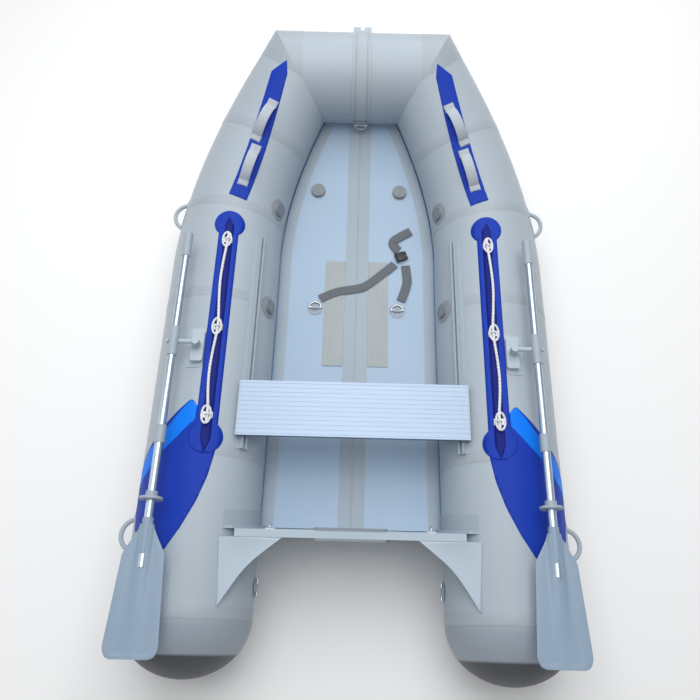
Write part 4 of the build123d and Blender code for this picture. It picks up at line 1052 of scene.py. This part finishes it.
panel_plan = [(girth(x), y) for x, y in PANEL_PLAN]
panel_plan += [(0.310, WRAP_AFT), (WRAP_GIRTH, -0.690), (0.310, WRAP_FORE), (girth(0.738), -0.612)]
panel = bmesh.new()
outline_face(panel, panel_plan, 0.012)
cut_fine(panel, 0.012)
wrap(panel, PANEL_LIFT)
thicken(panel, "quarter_panel", ROYAL, "blue_fabric", ["side_panels"], 0.0008)
FLASH_PLAN = [(0.5385, -0.411), (0.562, -0.389), (0.640, -0.488), (0.738, -0.614), (0.738, -0.686),
              (0.700, -0.634), (0.600, -0.525), (0.5385, -0.458)]
flash = bmesh.new()
outline_face(flash, [(girth(x), y) for x, y in FLASH_PLAN])
cut_fine(flash, 0.012)
wrap(flash, PANEL_LIFT + 0.0005)
thicken(flash, "azure_flash", AZURE, "blue_fabric", [], 0.0005)

# ---- Grab loops --------------------------------------------------------------------
# Two loops of stiff flat webbing on each bow strip, arched for a hand, with their ends
# stitched down flat.
LOOP_SPAN, LOOP_WIDE, LOOP_RISE, LOOP_THICK, LOOP_FEET = 0.132, 0.040, 0.034, 0.003, 0.022
LOOP_SHARES = (0.27, 0.63)
LOOP_LIFT, PATCH_THICK = 0.0074, 0.0084


def webbing(name, colour, dark, rough=0.7):
    """Flat woven webbing: cords lie along it and stand up between crossing threads."""
    coat = Coat(name, rough=rough, Sheen_Weight=0.3)
    along, across = coat.lay()
    weft = coat.sine(along * 2600.0 + across * 900.0)
    cords = coat.sine(across * 3600.0)
    cloth = weft * 0.25 + cords * 0.25 + 0.5
    coat.set("Base Color", coat.mix(cloth, dark, colour))
    coat.bump(cloth, 0.0005)
    return coat.material


LOOP_WEB = webbing("loop_webbing", shade(204, 212, 220), shade(160, 171, 182))
STRAP_WEB = webbing("strap_webbing", shade(122, 127, 135), shade(84, 89, 97))


def ribbon(places, wide, thick, crown=0.0):
    """Flat webbing through a row of places: x runs along it, y across it and z off it."""
    bm = bmesh.new()
    across = (-0.5, -0.46, -0.25, 0.0, 0.25, 0.46, 0.5)
    top = [(wide * share, thick / 2 * (0.3 if abs(share) == 0.5 else 1) + crown * (1 - 4 * share**2))
           for share in across]
    low = [(wide * share, -thick / 2 * (0.3 if abs(share) == 0.5 else 1) + crown * (1 - 4 * share**2))
           for share in reversed(across)]
    section = top + low
    face = bm.faces.new([bm.verts.new(places[0] @ Vector((0, y, z))) for y, z in section])
    edges = list(face.edges)
    for before, after in zip(places, places[1:]):
        edges, verts = draw_on(bm, edges)
        bmesh.ops.transform(bm, matrix=after @ before.inverted(), verts=verts)
    bmesh.ops.contextual_create(bm, geom=edges)
    lay = bm.loops.layers.uv.new("lay")
    lengths = lengths_along([place.translation for place in places])
    bm.verts.index_update()
    count = len(section)
    for face in bm.faces:
        for loop in face.loops:
            row, column = divmod(loop.vert.index, count)
            loop[lay].uv = (lengths[row], section[column][0])
    return bm


def arch_line(span, rise, feet, steps=28):
    """Height of an arched loop along its length: flat feet and a round back between."""
    points = []
    half = span / 2
    big = (half**2 + rise**2) / 2 / rise
    for i in range(steps + 1):
        x = -half + span * i / steps
        points.append((x, sqrt(big**2 - x**2) - (big - rise)))
    flat = [(half + feet * 0.4, 0.0), (half + feet, 0.0)]
    return [(-x, z) for x, z in reversed(flat)] + points + flat


for number, share in enumerate(LOOP_SHARES, 1):
    spot = GRAB_AFT.lerp(GRAB_FORE, share)
    run, off = spot.y, 0.0
    for _ in range(30):
        seat = on_tube(run, off, STRIP_LIFT + LOOP_LIFT)
        run += 0.7 * (spot.y - seat.translation.y)
        off += 0.7 * degrees((seat.translation.x - spot.x) / TUBE_R)
    line = arch_line(LOOP_SPAN, LOOP_RISE, LOOP_FEET)
    places = []
    for i, (x, z) in enumerate(line):
        behind, ahead = line[max(i - 1, 0)], line[min(i + 1, len(line) - 1)]
        slope = atan2(ahead[1] - behind[1], ahead[0] - behind[0])
        places.append(seat @ Matrix.Translation((x, 0, z + LOOP_THICK / 2)) @ Matrix.Rotation(-slope, 4, "Y"))
    loop_band = ribbon(places, LOOP_WIDE, LOOP_THICK, 0.0010)
    fit_both(f"grab_loop_{number}", loop_band, LOOP_WEB, "webbing", ["grab_loops"], smooth=35)
    feet_patch = bmesh.new()
    for end in (-1, 1):
        foot = seat @ Matrix.Translation((end * (LOOP_SPAN + LOOP_FEET) / 2, 0, -PATCH_THICK / 2))
        size = Matrix.Diagonal((LOOP_FEET * 1.3, LOOP_WIDE * 1.04, PATCH_THICK, 1))
        bmesh.ops.create_cube(feet_patch, size=1.0, matrix=foot @ size)
    bmesh.ops.bevel(feet_patch, geom=feet_patch.edges[:], affect="EDGES", offset=0.0012, segments=2,
                    profile=0.5, material=-1)
    fit_both(f"grab_loop_feet_{number}", feet_patch, HOLDER, "webbing", smooth=35)

# ---- Side handles ------------------------------------------------------------------
# Moulded rubber carrying handles on round pads, two on the outside of each tube.
HANDLE = moulded("handle_rubber", shade(168, 180, 191), 0.5, 400.0)
dress(HANDLE, "side_handles")

# ---- Bow strake and fairlead -------------------------------------------------------
# A wear strip over the bow tube with a thicker raised middle, and a moulded chock
# with two cheeks for the anchor line.
strake_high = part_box("bow_strake")[1]
STRAKE_HALF, STRAKE_RIB, STRAKE_THICK = strake_high.x, 0.0215, 0.003
STRAKE_COAT = Coat("strake_rubber", rough=0.5)
strake_tones = shade(163, 174, 184), shade(176, 187, 196)
STRAKE_COAT.set("Base Color", STRAKE_COAT.mix(STRAKE_COAT.noise(20.0), *strake_tones))
STRAKE_COAT.bump(STRAKE_COAT.noise(500.0, 2.0), 0.0003, 0.6)
outline = [(-STRAKE_HALF, 0.0002), (-STRAKE_HALF, 0.0022), (-STRAKE_HALF + 0.002, STRAKE_THICK),
           (-STRAKE_RIB - 0.006, STRAKE_THICK), (-STRAKE_RIB - 0.005, 0.0012), (-STRAKE_RIB - 0.001, 0.0012),
           (-STRAKE_RIB, 2 * STRAKE_THICK - 0.001), (-STRAKE_RIB + 0.002, 2 * STRAKE_THICK)]
outline += [(-x, z) for x, z in reversed(outline)]
AFT_DROP, FORE_DROP = 0.112, 0.150
AFT_TURN = asin(-AFT_DROP / (BOW_R + STRAKE_THICK))
FORE_TURN = asin(-FORE_DROP / (BOW_R + STRAKE_THICK))
strake = bmesh.new()
first = [strake.verts.new((x, BOW_Y + (BOW_R + z) * cos(FORE_TURN), BOW_Z + (BOW_R + z) * sin(FORE_TURN)))
         for x, z in outline]
face = strake.faces.new(first)
SWEEP = pi - AFT_TURN - FORE_TURN
bmesh.ops.spin(strake, geom=[face], cent=(0, BOW_Y, BOW_Z), axis=(1, 0, 0), dvec=(0, 0, 0),
               angle=SWEEP, steps=56, use_merge=False, use_duplicate=False)
fit("bow_wear_strip", strake, STRAKE_COAT.material, "deck_strip", ["bow_strake"], smooth=30)
dress(GREY_PLASTIC, "bow_fairlead")

# ---- Rings -------------------------------------------------------------------------
# Stainless D rings in fabric mounts: low at the bow, one inside each stern end and two
# on the deck for the tank strap. The lifelines run through white plastic eyes.
dress(STEEL, "bow_ring", "stern_ring_starboard", "stern_ring_port", "strap_ring_port", "strap_ring_starboard")
dress(HOLDER, "ring_mounts")
WHITE_PLASTIC = moulded("white_plastic", shade(236, 238, 240), 0.35)
dress(WHITE_PLASTIC, "lifeline_eyes")

# ---- Tank strap --------------------------------------------------------------------
# Grey webbing from the two deck rings to a side-release buckle of black plastic, with
# its loose tail lying on the deck.
STRAP_WIDE, STRAP_THICK = 0.038, 0.002


def strap(name, route, lift, nodes=()):
    """Webbing along a route in plan, flat on the pads and the deck."""
    line = wire_points([(x, y, 0) for x, y in route], 12)
    places = []
    for i, point in enumerate(line):
        along = (line[min(i + 1, len(line) - 1)] - line[max(i - 1, 0)]).normalized()
        up = Vector((0, 0, 1))
        turn = Matrix((along, up.cross(along), up)).transposed().to_4x4()
        height = deck_z(point.y) + PAD_THICK + lift + STRAP_THICK / 2
        places.append(Matrix.Translation((point.x, point.y, height)) @ turn)
    fit(name, ribbon(places, STRAP_WIDE, STRAP_THICK), STRAP_WEB, "webbing", nodes, smooth=35)


strap("tank_strap_port", [(-0.150, 0.158), (-0.100, 0.188), (-0.040, 0.203), (0.030, 0.214), (0.090, 0.266),
                          (0.160, 0.332)], 0.0010, ["strap_webbing"])
strap("tank_strap_starboard", [(0.186, 0.156), (0.212, 0.230), (0.213, 0.270), (0.206, 0.326)], 0.0010,
      ["strap_webbing"])
strap("tank_strap_tail", [(0.176, 0.398), (0.140, 0.430), (0.176, 0.462), (0.228, 0.490)], 0.0020,
      ["strap_webbing"])
BLACK = moulded("buckle_plastic", shade(24, 25, 28), 0.35)
buckle_low, buckle_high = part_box("strap_buckle")
middle = (buckle_low + buckle_high) / 2
way = Matrix.Translation(middle) @ Matrix.Rotation(radians(20), 4, "Z")
buckle = bmesh.new()
for spot, size in (((0, 0, 0), (0.034, 0.040, 0.0115)), ((0.019, 0.012, 0), (0.014, 0.008, 0.009)),
                   ((0.019, -0.012, 0), (0.014, 0.008, 0.009)), ((-0.021, 0, 0), (0.006, 0.044, 0.008)),
                   ((0.024, 0, 0), (0.004, 0.042, 0.006))):
    bmesh.ops.create_cube(buckle, size=1.0,
                          matrix=way @ Matrix.Translation(spot) @ Matrix.Diagonal((*size, 1)))
bmesh.ops.bevel(buckle, geom=buckle.edges[:], affect="EDGES", offset=0.0014, segments=3, profile=0.5,
                material=-1)
fit("release_buckle", buckle, BLACK, "black_plastic", ["strap_buckle"], smooth=35)
